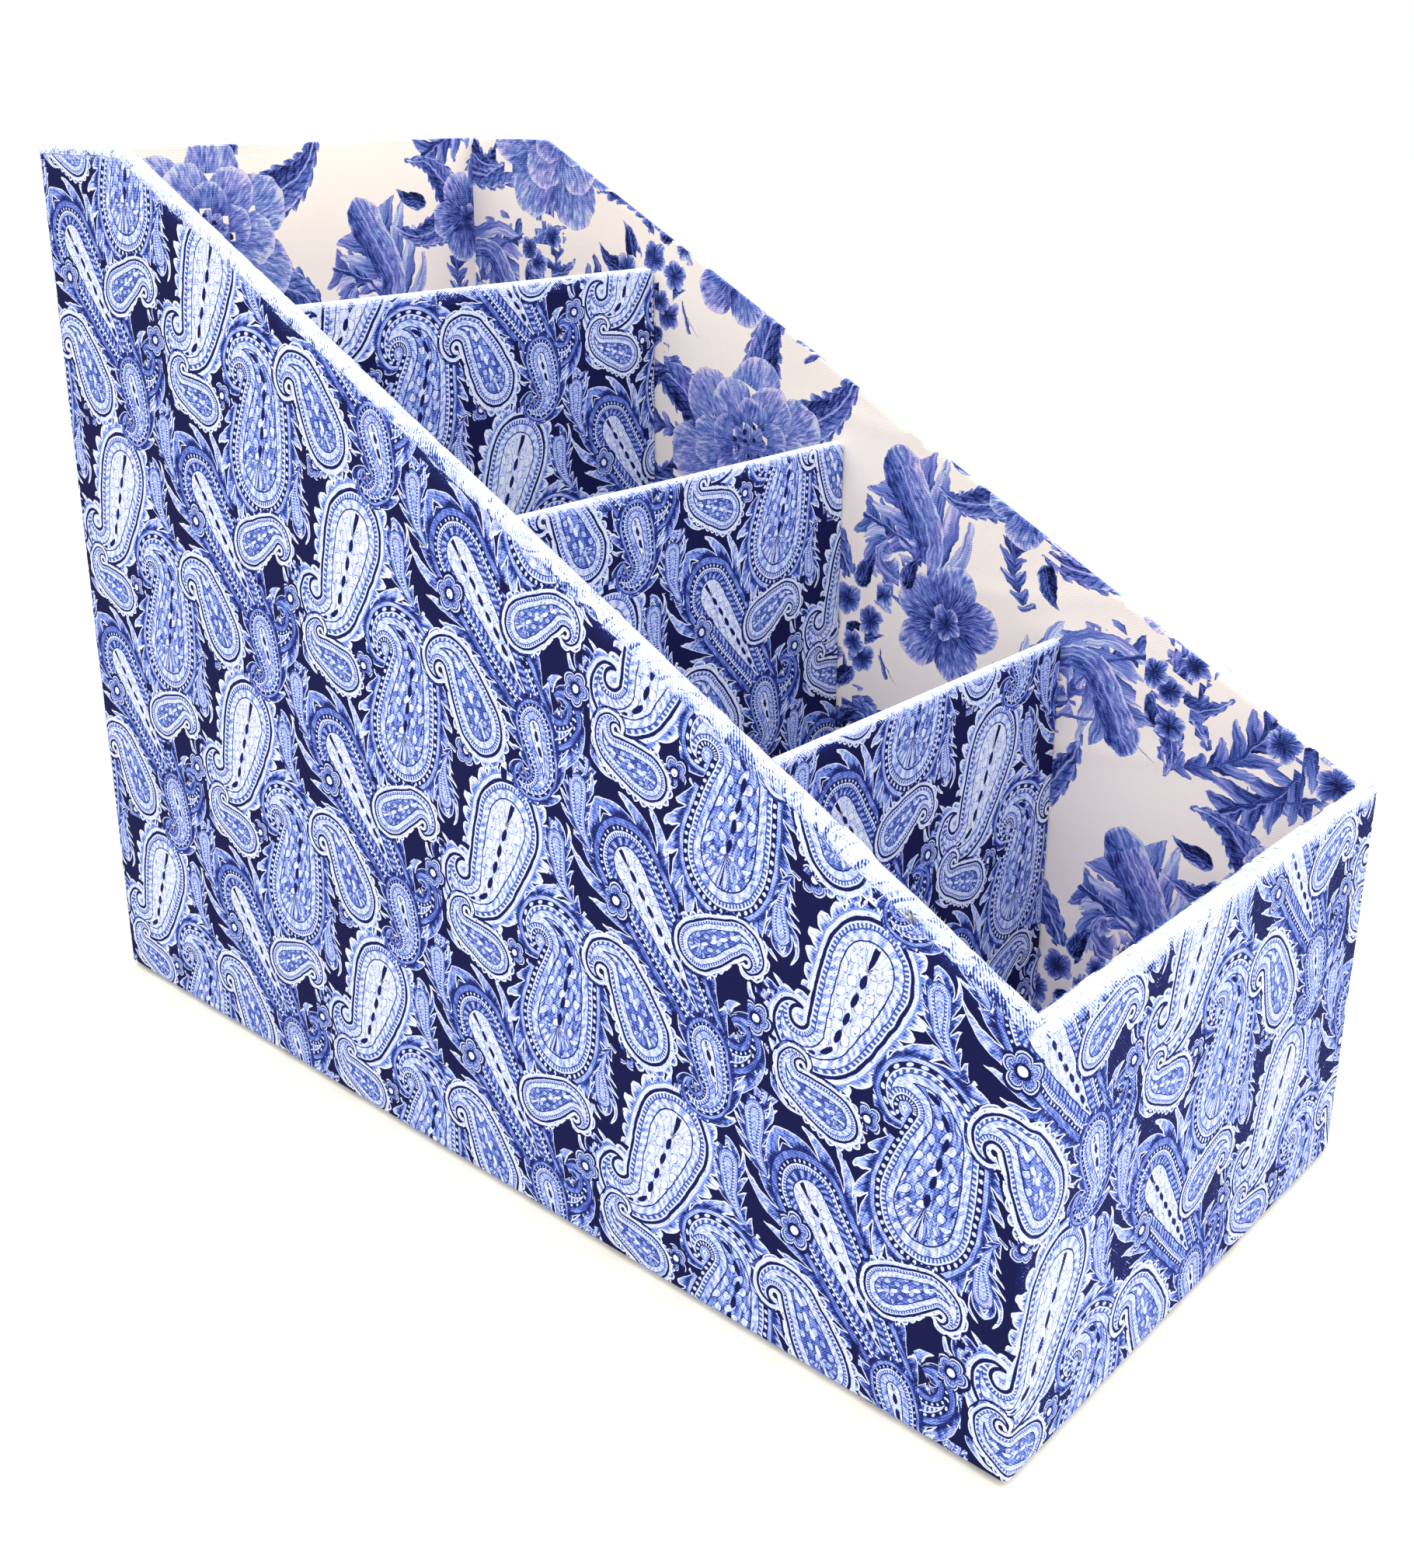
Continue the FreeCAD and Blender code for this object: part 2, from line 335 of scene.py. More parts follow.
def rosette(x, y, m):
    """A flower seen from above. Its outline swells to its width at each petal with a power of a cosine,
    which makes round lobes and narrow notches. Returns the depth inside it, the walk round it and the
    distance from the centre."""
    distance = hypot(x, y)
    angle = calc("ARCTAN2", x, y)
    lobe = calc("POWER", abs(calc("COSINE", angle * m["petals"] * 0.5)), PETAL_ROUNDNESS)
    return m["width"] * (NOTCH + LOBE * lobe) - distance, angle * m["width"], distance


print("depth in a flower's middle:", rosette(np.zeros(1), np.zeros(1), sample)[0])

# %% Leaves round an outline
CHANCE_STEP, CHANCE_GAIN = 12.99, 43.76
TIP_SHRINK = 0.45
LEAST_REACH, REACH_SPREAD = 0.7, 0.45
LEAF_WIDTH, LEAF_SWAY = 0.52, 0.18


def leafy_edge(depth, walk, share, across, m):
    """Leaves round an outline: the walk is cut into lengths of one pitch, pushed over by lean as they
    go out, and each leaf narrows by a power of the share of its reach. Leaves differ by a number that
    the sine of their count makes, and the inner side of the curl is left bare by its own share. Returns
    the depth inside a leaf, the place across it, the share of its reach and the reach."""
    outward = 0 - depth
    steps = (walk + outward * m["lean"]) / m["pitch"]
    number = calc("FLOOR", steps)
    place = steps - number - 0.5
    chance = calc("FRACT", calc("SINE", number * CHANCE_STEP + m["seed"]) * CHANCE_GAIN)
    inner = calc("GREATER_THAN", across, 0.0) * clamp(share * 4.0)
    reach = m["fringe"] * (1 - TIP_SHRINK * share) * (LEAST_REACH + REACH_SPREAD * chance)
    reach = reach * (1 - inner * m["bare"])
    gone = clamp(outward / calc("MAXIMUM", reach, 0.01))
    wide = LEAF_WIDTH * m["pitch"] * calc("POWER", 1 - gone, m["blunt"])
    wide = wide + LEAF_SWAY * gone * calc("SINE", outward * 3.0 + m["seed"])
    leaf = calc("MINIMUM", wide - abs(place) * m["pitch"], reach - outward)
    return leaf, place, gone, reach


def without_foot(leaf, walk):
    """The depth inside a leaf, less than zero where it would grow below the foot of a stem."""
    return calc("MINIMUM", leaf, walk * 3.0 + 0.5)


print("a leaf reaches", LEAST_REACH, "to", LEAST_REACH + REACH_SPREAD, "of its fringe")

# %% Brush strokes and leaves
OUTLINE = 0.42
VEIN = 0.16


def strokes(m, grain, walk, across, is_flower):
    """Brush strokes, -0.5 to 0.5. They run along a body, and out from the centre on a flower."""
    along = pick(is_flower, walk * 1.3, walk * 0.3)
    beside = pick(is_flower, across * 0.3, across * 1.5)
    return grain(along, beside, m["seed"]) - 0.5


def ink_of_leaves(m, leaf, place, gone, walk, depth, mottle, grain):
    """Ink of the leaves, 0 navy to 1 white: hatched, darker at the vein and at the foot, paler towards
    the tip, in a white outline."""
    vein = cover(VEIN - abs(place) * m["pitch"]) * (1 - gone)
    hatch = grain(walk * 1.6, depth * 0.4, m["seed"]) - 0.5
    ink = m["leaf_tone"] + 0.7 * hatch + 0.3 * (mottle - 0.5) + 0.25 * gone - 0.3 * vein
    ink = ink - 0.25 * cover(depth + 0.9, 1.0)
    return over(ink, OUTLINE - leaf, 1.0)


print("a white outline is", OUTLINE, "mm wide")

# %% Bands, beads and teeth
LONG_LEAVES = 1.6
BEAD_SPACING, BEAD_RADIUS, BEAD_INK = 1.8, 0.46, 0.9
PALE_LINE, PALE_INK = 0.35, 0.92
TOOTH_PITCH, TOOTH_GAP = 1.15, 0.26
GAP_INK, TOOTH_GAIN = 0.42, 0.44
COMB = 0.8


def ink_of_bands(m, depth, walk, wander, reach):
    """Ink from the outline inwards: a line that is white where no long leaves grow, a band, a dark band
    with beads on it, a pale line and a comb of teeth. Widths are in the motif's unit, about a
    millimetre. Returns the ink and the depth at which the comb ends."""
    unit = m["unit"]
    ink = m["band_tone"] + 0.5 * wander
    line_ink = over(1.0, reach - LONG_LEAVES, m["band_tone"] - 0.3, 0.6)
    ink = over(ink, OUTLINE * unit - depth, line_ink)
    dark_start = m["rim_band"] * unit
    dark_end = dark_start + m["dark_band"]
    ink = over(ink, depth - dark_start, 0.0)
    spacing = BEAD_SPACING * unit
    bead_along = middled(walk / spacing) * spacing
    bead_in = depth - (dark_start + dark_end) / 2
    bead = BEAD_RADIUS * unit * m["bead"] - hypot(bead_along, bead_in)
    ink = over(ink, bead, BEAD_INK)
    ink = over(ink, depth - dark_end, PALE_INK)
    comb_start = dark_end + PALE_LINE * unit
    tooth = abs(middled(walk / (TOOTH_PITCH * unit))) - TOOTH_GAP
    ink = over(ink, depth - comb_start, GAP_INK + TOOTH_GAIN * cover(tooth, 0.14))
    return ink, comb_start + COMB * unit


print("beads stand", BEAD_SPACING, "and teeth", TOOTH_PITCH, "units apart")

# %% Field and core
DARK_LINE, CORE_LINE_INK = 0.25, 0.12
FIELD = 1.7
BONE_SLANT, BONE_SPACING, BONE_INK = 0.9, 2.2, 0.14
SPOT_SPACING, SPOT_SHORTNESS, SPOT_WIDTH, SPOT_INSET = 4.4, 2.9, 0.6, 0.7


def ink_of_field(m, ink, start, depth, walk, across, wander):
    """Ink inside the bands: a dark line, a field with slanting bones, a dark line, and a core of blooms,
    products of two sine waves with dark edges, with spots along the spine."""
    unit = m["unit"]
    ink = over(ink, depth - start, 0.1 + 0.3 * m["tone"])
    inside = depth - start - DARK_LINE * unit
    bone = abs(middled((walk - BONE_SLANT * abs(across)) / (BONE_SPACING * unit)))
    bone = (BONE_INK + m["bones"]) * cover(0.25 - bone, 0.2)
    ink = over(ink, inside, m["tone"] + m["mottling"] * wander - bone)
    core = inside - FIELD * unit
    ink = over(ink, core, CORE_LINE_INK)
    sway = 0.9 * calc("SINE", across * 1.2 / unit)
    bloom = calc("SINE", walk * 1.2 / unit + sway) * calc("SINE", across * 1.5 / unit + 0.45 * walk / unit)
    core_ink = m["core_tone"] + m["mottling"] * wander + 0.24 * cover(bloom - 0.15, 0.3)
    core_ink = core_ink - 0.42 * cover(0.1 - abs(bloom - 0.15), 0.12)
    ink = over(ink, core - DARK_LINE * unit, core_ink)
    spot_along = middled(walk / (SPOT_SPACING * unit)) * SPOT_SHORTNESS
    spot = 1 - hypot(spot_along, across / (SPOT_WIDTH * unit))
    spot_ink = calc("GREATER_THAN", 0.6, m["core_tone"])
    return pick(cover(spot, 0.3) * cover(core - SPOT_INSET * unit), spot_ink, ink)


print("the core begins", DARK_LINE + FIELD, "units inside the comb")

# %% Painting one motif
HEART, HEART_SEED = 0.38, 0.24


def paint_motif(x, y, m, mottle, grain):
    """Ink of one motif at a place in its own millimetres, 0 navy to 1 white. Returns the body's depth,
    the leaves' cover, the leaves' ink and the body's ink."""
    depth, walk, share, across = teardrop(x, y, m)
    petal_depth, petal_walk, distance = rosette(x, y, m)
    is_flower = calc("GREATER_THAN", m["petals"], 0.5)
    depth = pick(is_flower, petal_depth, depth)
    walk = pick(is_flower, petal_walk, walk)
    across = pick(is_flower, distance, across)
    wander = 0.5 * (mottle - 0.5) + strokes(m, grain, walk, across, is_flower)
    leaf, place, gone, reach = leafy_edge(depth, walk, share, across, m)
    leaf_ink = ink_of_leaves(m, leaf, place, gone, walk, depth, mottle, grain)
    ink, comb_end = ink_of_bands(m, depth, walk, wander, reach)
    ink = ink_of_field(m, ink, comb_end, depth, walk, across, wander)
    heart = is_flower * cover(m["width"] * HEART - distance)
    ink = pick(heart, cover(m["width"] * HEART_SEED - distance), ink)
    return depth, cover(leaf), leaf_ink, ink


print("the heart of a rosette takes up", HEART, "of its width")


# %% Kinds of motif
SIZES = ("width", "length", "stem", "hook", "fringe", "pitch", "dark_band", "unit")
LOOKS = ("lean", "blunt", "bare", "leaf_tone", "band_tone", "rim_band", "bead", "tone", "core_tone",
         "mottling", "bones", "petals", "seed")
PLAIN = dict(lean=0.0, blunt=0.5, bare=0.9, leaf_tone=0.5, band_tone=0.7, rim_band=1.3, bead=0.0, tone=0.8,
             core_tone=0.5, mottling=0.5, bones=0.0, petals=0.0, length=1.0, stem=1.0, hook=1.0, fringe=0.0,
             pitch=3.0, dark_band=0.0, unit=1.0)
KINDS = {
    "lance": dict(PLAIN, width=9.6, length=64.0, stem=38.0, hook=8.2, fringe=6.6, pitch=6.6, lean=1.4,
                  blunt=0.75, bare=0.5, leaf_tone=0.5, band_tone=0.5, rim_band=1.9, dark_band=1.0,
                  bead=0.85, tone=0.66, core_tone=0.86, bones=0.2, unit=0.9),
    "beaded": dict(PLAIN, width=12.0, length=46.0, stem=17.0, hook=9.0, fringe=4.6, pitch=4.6, lean=0.8,
                   blunt=0.6, bare=0.7, leaf_tone=0.52, band_tone=0.68, dark_band=1.2, bead=1.0,
                   tone=0.86, core_tone=0.6, mottling=0.7),
    "pale": dict(PLAIN, width=10.5, length=44.0, stem=18.0, hook=8.0, fringe=2.6, pitch=3.4, lean=0.2,
                 blunt=0.4, bare=0.2, leaf_tone=0.82, band_tone=0.9, dark_band=0.7, tone=0.94,
                 core_tone=0.88, mottling=0.6, bones=0.12),
    "small": dict(PLAIN, width=6.4, length=27.0, stem=11.0, hook=5.2, fringe=1.1, pitch=2.2, leaf_tone=0.8,
                  band_tone=0.9, rim_band=1.2, dark_band=0.5, tone=0.9, core_tone=0.5, mottling=0.4,
                  unit=0.66),
    "curl": dict(PLAIN, width=5.2, length=24.0, stem=8.0, hook=5.6, fringe=4.2, pitch=3.8, lean=1.0,
                 blunt=0.8, bare=0.3, leaf_tone=0.5, band_tone=0.58, dark_band=0.6, bead=0.7, tone=0.76,
                 core_tone=0.9, unit=0.7),
    "leaf": dict(PLAIN, width=2.6, length=15.0, stem=6.0, hook=16.0, fringe=3.4, pitch=3.2, lean=1.3,
                 blunt=0.7, bare=0.0, leaf_tone=0.55, band_tone=0.65, mottling=0.3, unit=0.6),
    "floret": dict(PLAIN, width=4.4, petals=5.0, tone=0.6, rim_band=1.0, unit=0.5, dark_band=0.3),
}
# Kind, place, lean of the tip clockwise from upwards in degrees, side that it curls to, size
PAISLEY_MOTIFS = [
    ("leaf", 48, 68, 176, 1, 1.15),
    ("leaf", 97, 114, 180, -1, 1.1),
    ("floret", 61, 113, 10, 1, 0.85),
    ("floret", 25, 125, 50, 1, 0.8),
    ("leaf", 51, 83, 150, 1, 1.1),
    ("leaf", 5, 126, -40, -1, 1.1),
    ("leaf", 90, 99, 175, -1, 1.1),
    ("leaf", 53, 99, -8, 1, 0.9),
    ("lance", 12, 100, 144, -1, 1.04),
    ("beaded", 39, 111, 14, -1, 1.08),
    ("pale", 74, 98, 202, 1, 1.12),
    ("small", 66, 121, -28, -1, 1.3),
    ("small", 17, 122, -72, 1, 0.95),
    ("curl", 84, 124, 163, 1, 1.15),
    ("small", 32, 89, 62, 1, 1.0),
    ("floret", 58, 149, 0, 1, 1.0),
    ("floret", 47, 78, 30, 1, 0.9),
]
PAISLEY = {"tile": (100.0, 116.0), "motifs": PAISLEY_MOTIFS, "kinds": KINDS, "wobble": 0.3, "halo": 0.8,
           "bare_foot": False}
PARAMETERS = SIZES + LOOKS

inwards = np.arange(0.5, 7.0)
beaded = dict(KINDS["beaded"], seed=0.0)
inks = paint_motif(0 * inwards, inwards - beaded["width"], beaded, 0.5, lambda along, beside, seed: 0.5)
print("ink of a beaded teardrop, millimetre by millimetre from its edge:", inks[3].round(2))

# %% Places in the repeat
def design(pattern):
    """The motifs of one repeat, each with its half-drop copy: places and angles, and rows of sizes."""
    places, rows = [], []
    width, height = pattern["tile"]
    for number, (kind, x, y, angle, side, size) in enumerate(pattern["motifs"]):
        m = dict(pattern["kinds"][kind], seed=number * 1.7)
        m.update({key: m[key] * size for key in SIZES})
        for drop in (0, 0.5):
            places.append((x + drop * width, y + drop * height, math.radians(angle), side))
            rows.append([m[key] for key in PARAMETERS])
    return np.array(places, float), np.array(rows, float)


def to_local(u, v, place):
    """Fabric coordinates as a motif's own: moved to its head, turned upright, and mirrored by side."""
    du, dv = u - place[..., 0], v - place[..., 1]
    cosine, sine = np.cos(place[..., 2]), np.sin(place[..., 2])
    return (du * cosine - dv * sine) * place[..., 3], du * sine + dv * cosine


def repeats_over(u, v, place, reach, tile):
    """A motif's place in each repeat of the tile from which it can reach the sheet."""
    spans = []
    for cloth, at, size in zip((u, v), place, tile):
        first = math.ceil((cloth.min() - reach - at) / size)
        last = math.floor((cloth.max() + reach - at) / size)
        spans.append(range(first, last + 1))
    return [place + np.array([across * tile[0], along * tile[1], 0, 0])
            for across in spans[0] for along in spans[1]]


print("motifs in a repeat of the paisley:", len(design(PAISLEY)[0]))

# %% [markdown]
# Which motif lies where. The shader could try every motif at every point, but that is a hundred times
# the work. Each small face of a sheet is touched by few motifs, so numpy finds the two topmost for every
# face and stores their places and sizes on the mesh, and the shader paints only those two.

# %% Laying a print on a sheet
EDGE_ROOM, WOBBLE_ROOM, LEAF_ROOM = 0.5, 1.5, 1.3
NOWHERE = -1000


def reach_of(x, y, m, bare_foot):
    """How far inside a motif or one of its leaves a place is, in millimetres, less than zero outside."""
    if m["petals"]:
        return rosette(x, y, m)[0]
    depth, walk, share, across = teardrop(x, y, m)
    leaf = leafy_edge(depth, walk, share, across, m)[0]
    return np.maximum(depth, without_foot(leaf, walk) if bare_foot else leaf)


def corners_of(grid):
    """A grid's values at the four corners of each of its cells: four smaller grids."""
    return [grid[:-1, :-1], grid[:-1, 1:], grid[1:, 1:], grid[1:, :-1]]


def on_corners(grid):
    """A grid's values at the four corners of each of its cells, cell by cell."""
    return np.stack(corners_of(grid), 2).reshape(-1, grid.shape[2])


def block_round(near):
    """The block that holds every point where near is true and one more, as slices of rows and columns."""
    block = []
    for axis, points in enumerate(near.shape):
        found = np.flatnonzero(near.any(1 - axis))
        block.append(slice(found[0], min(found[-1] + 2, points)))
    return tuple(block)


def lay_print(fabric, pattern):
    """Lay the repeat over a sheet. For every cell of the grid, find the two topmost motifs that reach
    it. Returns, for each of the two, the corners' places in the motif and the motif's row of sizes."""
    margin = EDGE_ROOM + WOBBLE_ROOM * pattern["wobble"]
    u, v = fabric[..., 0], fabric[..., 1]
    cells = (u.shape[0] - 1, u.shape[1] - 1)
    top, below = np.full(cells, -1), np.full(cells, -1)
    laid, laid_rows = [], []
    for place, row in zip(*design(pattern)):
        m = dict(zip(PARAMETERS, row))
        reach = m["width"] + LEAF_ROOM * m["fringe"] + (0 if m["petals"] else m["length"])
        for here in repeats_over(u, v, place, reach, pattern["tile"]):
            near = (abs(u - here[0]) < reach) & (abs(v - here[1]) < reach)
            if not near.any():
                continue
            block = block_round(near)
            x, y = to_local(u[block], v[block], here)
            hit = np.max(corners_of(reach_of(x, y, m, pattern["bare_foot"])), 0) > -margin
            area = tuple(slice(part.start, part.start + count) for part, count in zip(block, hit.shape))
            below[area] = np.where(hit, top[area], below[area])
            top[area] = np.where(hit, len(laid), top[area])
            laid.append(here)
            laid_rows.append(row)
    laid, laid_rows = np.array(laid), np.array(laid_rows)
    corners = on_corners(fabric).reshape(-1, 4, 2)
    slots = []
    for chosen in (below.ravel(), top.ravel()):
        x, y = to_local(corners[..., 0], corners[..., 1], laid[chosen][:, None, :])
        empty = chosen < 0
        x[empty], y[empty] = 0, NOWHERE
        slots.append((np.stack([x, y], -1).reshape(-1, 2), laid_rows[chosen]))
    return slots


patch = np.stack(np.meshgrid(np.arange(0.0, 40.0, 2.0), np.arange(0.0, 40.0, 2.0)), -1)
on_motifs = [round(float((places[:, 1] > NOWHERE).mean()), 2) for places, sizes in lay_print(patch, PAISLEY)]
print("share of a patch of paisley with a second motif, and with any:", on_motifs)

# %% [markdown]
# The lining's print: blooms, plumes and sprays in blue on cream. A bloom is a stack of rosettes, each
# smaller and with its petals turned. A plume is a teardrop with long leaves, a twig is a very thin one.
# So it needs no new outlines, only another way of painting them: soft, with veins and folds.

# %% Painting the lining's flowers
LEAF_VEIN, LEAF_VEIN_EDGE = 0.22, 0.4
SIDE_VEIN_SLANT, SIDE_VEIN_SPACING = 1.3, 3.4
MIDRIB = 0.28
SEAM = 0.43


def paint_flower(x, y, m, mottle, grain):
    """Ink of one painted motif. Petals get darker towards the centre and towards their seams, leaves
    have a pale midrib, slanting veins and one darker half, and none grow round the foot of a stem.
    Returns the same as paint_motif."""
    depth, walk, share, across = teardrop(x, y, m)
    petal_depth, petal_walk, distance = rosette(x, y, m)
    is_flower = calc("GREATER_THAN", m["petals"], 0.5)
    stroke_walk, stroke_across = pick(is_flower, petal_walk, walk), pick(is_flower, distance, across)
    wander = 0.4 * (mottle - 0.5) + strokes(m, grain, stroke_walk, stroke_across, is_flower)
    leaf, place, gone, reach = leafy_edge(depth, walk, share, across, m)
    leaf = without_foot(leaf, walk)
    hatch = grain((walk - depth * m["lean"]) * 1.1, depth * 0.2, m["seed"]) - 0.5
    vein = cover(LEAF_VEIN - abs(place) * m["pitch"], LEAF_VEIN_EDGE) * (1 - gone)
    leaf_ink = m["leaf_tone"] + 0.8 * hatch + 0.3 * gone - 0.2 * vein - 0.45 * place

    side = clamp(across / m["width"] * 0.5 + 0.5) - 0.5
    veins = abs(middled((walk - SIDE_VEIN_SLANT * abs(across)) / (SIDE_VEIN_SPACING * m["unit"])))
    ink = m["tone"] + m["mottling"] * wander - 0.55 * side - m["bones"] * cover(0.1 - veins, 0.16)
    ink = over(ink, MIDRIB * m["unit"] - abs(across), m["core_tone"], 0.3)
    ink = ink + 0.25 * cover(0.45 - depth, 0.6)

    angle = petal_walk / m["width"]
    seam = abs(middled(angle * m["petals"] / TURN + 0.5))
    out = clamp(distance / m["width"])
    petal = m["core_tone"] + (m["tone"] - m["core_tone"]) * out + m["mottling"] * wander
    petal = petal - 0.3 * cover(seam - SEAM, 0.16) * out + 0.2 * cover(0.9 - petal_depth, 1.6)
    depth = pick(is_flower, petal_depth, depth)
    return depth, cover(leaf) * (1 - is_flower), leaf_ink, pick(is_flower, petal, ink)


print("a seam takes up", round(1 - 2 * SEAM, 2), "of each petal")

# %% [markdown]
# The flowers themselves. Sprays, florets and the dots in a bloom's middle repeat round a point, so they
# are laid by a loop: a spiral spreads motifs evenly over a round patch, as seeds lie in a sunflower, and
# a fan lets them radiate. Later motifs in the list lie on top of earlier ones.

# %% Flowers of the lining
SOFT = dict(PLAIN, tone=0.6, core_tone=0.85, mottling=0.8, leaf_tone=0.45, bones=0.3)
FLOWERS = {
    "outer_petals": dict(SOFT, width=30.0, petals=7.0, tone=0.8, core_tone=0.3),
    "middle_petals": dict(SOFT, width=22.0, petals=6.0, tone=0.85, core_tone=0.28),
    "inner_petals": dict(SOFT, width=14.5, petals=5.0, tone=0.75, core_tone=0.25),
    "heart": dict(SOFT, width=7.0, petals=9.0, tone=0.6, core_tone=0.5),
    "seed": dict(SOFT, width=1.15, petals=8.0, tone=0.0, core_tone=0.0, mottling=0.2),
    "plume": dict(SOFT, width=6.5, length=62.0, stem=20.0, hook=14.0, fringe=13.0, pitch=9.5, lean=1.1,
                  blunt=0.45, bare=0.45, tone=0.55, leaf_tone=0.58, bones=0.0, mottling=0.8),
    "leaf": dict(SOFT, width=6.4, length=30.0, stem=14.0, hook=26.0, fringe=1.8, pitch=4.0, lean=0.9,
                 bare=0.0, tone=0.45, mottling=0.7, bones=0.22),
    "frond": dict(SOFT, width=0.8, length=34.0, stem=14.0, hook=30.0, fringe=7.5, pitch=6.0, lean=0.9,
                  blunt=0.5, bare=0.0, tone=0.25, core_tone=0.2, leaf_tone=0.42, bones=0.0),
    "twig": dict(SOFT, width=0.75, length=42.0, stem=14.0, hook=34.0, tone=0.3, core_tone=0.4, bones=0.0),
    "bud": dict(SOFT, width=2.9, length=9.0, stem=4.0, hook=20.0, tone=0.3, core_tone=0.6, unit=0.5),
    "floret": dict(SOFT, width=5.2, petals=5.0, tone=0.72, core_tone=0.1),
    "open_petals": dict(SOFT, width=17.0, petals=5.0, tone=0.8, core_tone=0.2, mottling=0.9),
}
GOLDEN_ANGLE = math.radians(137.5)


def spiral(kind, x, y, spacing, count, size):
    """Motifs spread evenly round a point: each is turned by the golden angle, at the root of its number."""
    turns = [number * GOLDEN_ANGLE for number in range(count)]
    out = [spacing * math.sqrt(number) for number in range(count)]
    return [(kind, x + far * math.cos(turn), y + far * math.sin(turn), 40 * number, 1, size)
            for number, (far, turn) in enumerate(zip(out, turns))]


def fan(kind, x, y, far, angles, size):
    """Motifs that radiate from a point at the given angles, with their heads far millimetres out."""
    turns = [math.radians(a) for a in angles]
    return [(kind, x + far * math.sin(turn), y + far * math.cos(turn), a, (-1) ** number, size)
            for number, (a, turn) in enumerate(zip(angles, turns))]


FLOWER_MOTIFS = [
    ("frond", 64, 96, 20, 1, 1.1), ("frond", 10, 84, -60, -1, 1.0), ("frond", 84, 52, 110, 1, 1.0),
    ("frond", 120, 84, 60, -1, 1.1), ("frond", 58, 22, 215, 1, 1.0), ("frond", 22, 30, 250, -1, 0.9),
    *fan("leaf", 40, 62, 22, (12, 62, 118, 190, 248, 305), 1.05),
    ("twig", 62, 92, 62, 1, 1.0), ("twig", 92, 40, 200, -1, 0.9), ("twig", 18, 96, -20, 1, 0.8),
    *fan("frond", 137, 65, 4, (75, 200), 0.75), *fan("leaf", 137, 65, 9, (20, 130, 255, 320), 0.75),
    *fan("bud", 137, 65, 21, (45, 165, 285), 1.0),
    ("open_petals", 137, 65, 50, 1, 0.85), ("floret", 137, 65, 20, 1, 0.8),
    ("plume", 96, 66, 150, 1, 0.95),
    ("plume", 92, 98, -28, -1, 0.8),
    ("outer_petals", 40, 62, 10, 1, 1.0), ("middle_petals", 41, 64, 35, 1, 1.0),
    ("inner_petals", 41, 65, 5, 1, 1.0), ("heart", 41, 65, 0, 1, 1.0),
    *spiral("seed", 41, 65, 1.9, 14, 1.0),
    *fan("leaf", 100, 110, 3, (35, 95, 150), 0.62),
    *fan("bud", 72, 18, 10, (-60, -10, 40, 95, 160), 1.1),
    *spiral("floret", 72, 18, 6.4, 6, 0.95),
    *spiral("floret", 104, 112, 6.0, 4, 0.8),
    ("open_petals", 112, 26, 15, 1, 1.0), ("floret", 112, 26, 40, 1, 1.0),
    ("floret", 12, 112, 0, 1, 0.9), ("floret", 6, 104, 30, 1, 0.75), ("floret", 16, 120, 50, 1, 0.7),
    ("bud", 84, 34, 20, 1, 1.0), ("bud", 4, 94, 230, 1, 1.0), ("bud", 24, 126, 20, 1, 0.9),
]
FLORAL = {"tile": (150.0, 180.0), "motifs": FLOWER_MOTIFS, "kinds": FLOWERS, "wobble": 0.9, "halo": 0.0,
          "bare_foot": True}
print("motifs in a repeat of the flowers:", len(design(FLORAL)[0]))

# %% [markdown]
# Cloth as a mesh. Each sheet is a grid: columns along the sheet, rows along its section, and a place in
# the fabric for every point. A Solidify modifier could give it its thickness, but it would double the
# fine grid, so the hidden side is a second, coarser grid, a cloth's thickness further in.

# %% Helpers for grids
def grid_of(*parts):
    """Numbers stacked into points, each spread over the whole grid first."""
    return np.stack(np.broadcast_arrays(*parts), -1)


def spaced(*stretches):
    """Numbers along a line in stretches of (start, end, steps), without repeating the joints."""
    parts = [np.linspace(start, end, steps, endpoint=False) for start, end, steps in stretches]
    return np.concatenate(parts + [[stretches[-1][1]]])


def fine_ends(start, end, run, run_steps, steps):
    """Numbers along a line in steps, with a run of smaller ones at each end."""
    first, last = start + run, end - run
    return spaced((start, first, run_steps), (first, last, steps), (last, end, run_steps))


def walk_along(section):
    """The distance walked along a section at each of its points."""
    return np.concatenate([[0], np.cumsum(np.hypot(*np.diff(section, axis=0).T))])


def normals_of(points):
    """Outward normals of a grid: the cross product of its steps along columns and along rows."""
    across = np.gradient(points, axis=1)
    along = np.gradient(points, axis=0)
    normal = np.cross(across, along)
    size = np.linalg.norm(normal, axis=2, keepdims=True)
    return normal / np.maximum(size, 1e-9)


print("two stretches:", spaced((0, 1, 2), (1, 4, 3)))

# %% Faces of a sheet
def quads(a, b, c, d):
    """Four-sided faces from four grids of corners."""
    return np.stack([a, b, c, d], -1).reshape(-1, 4).tolist()


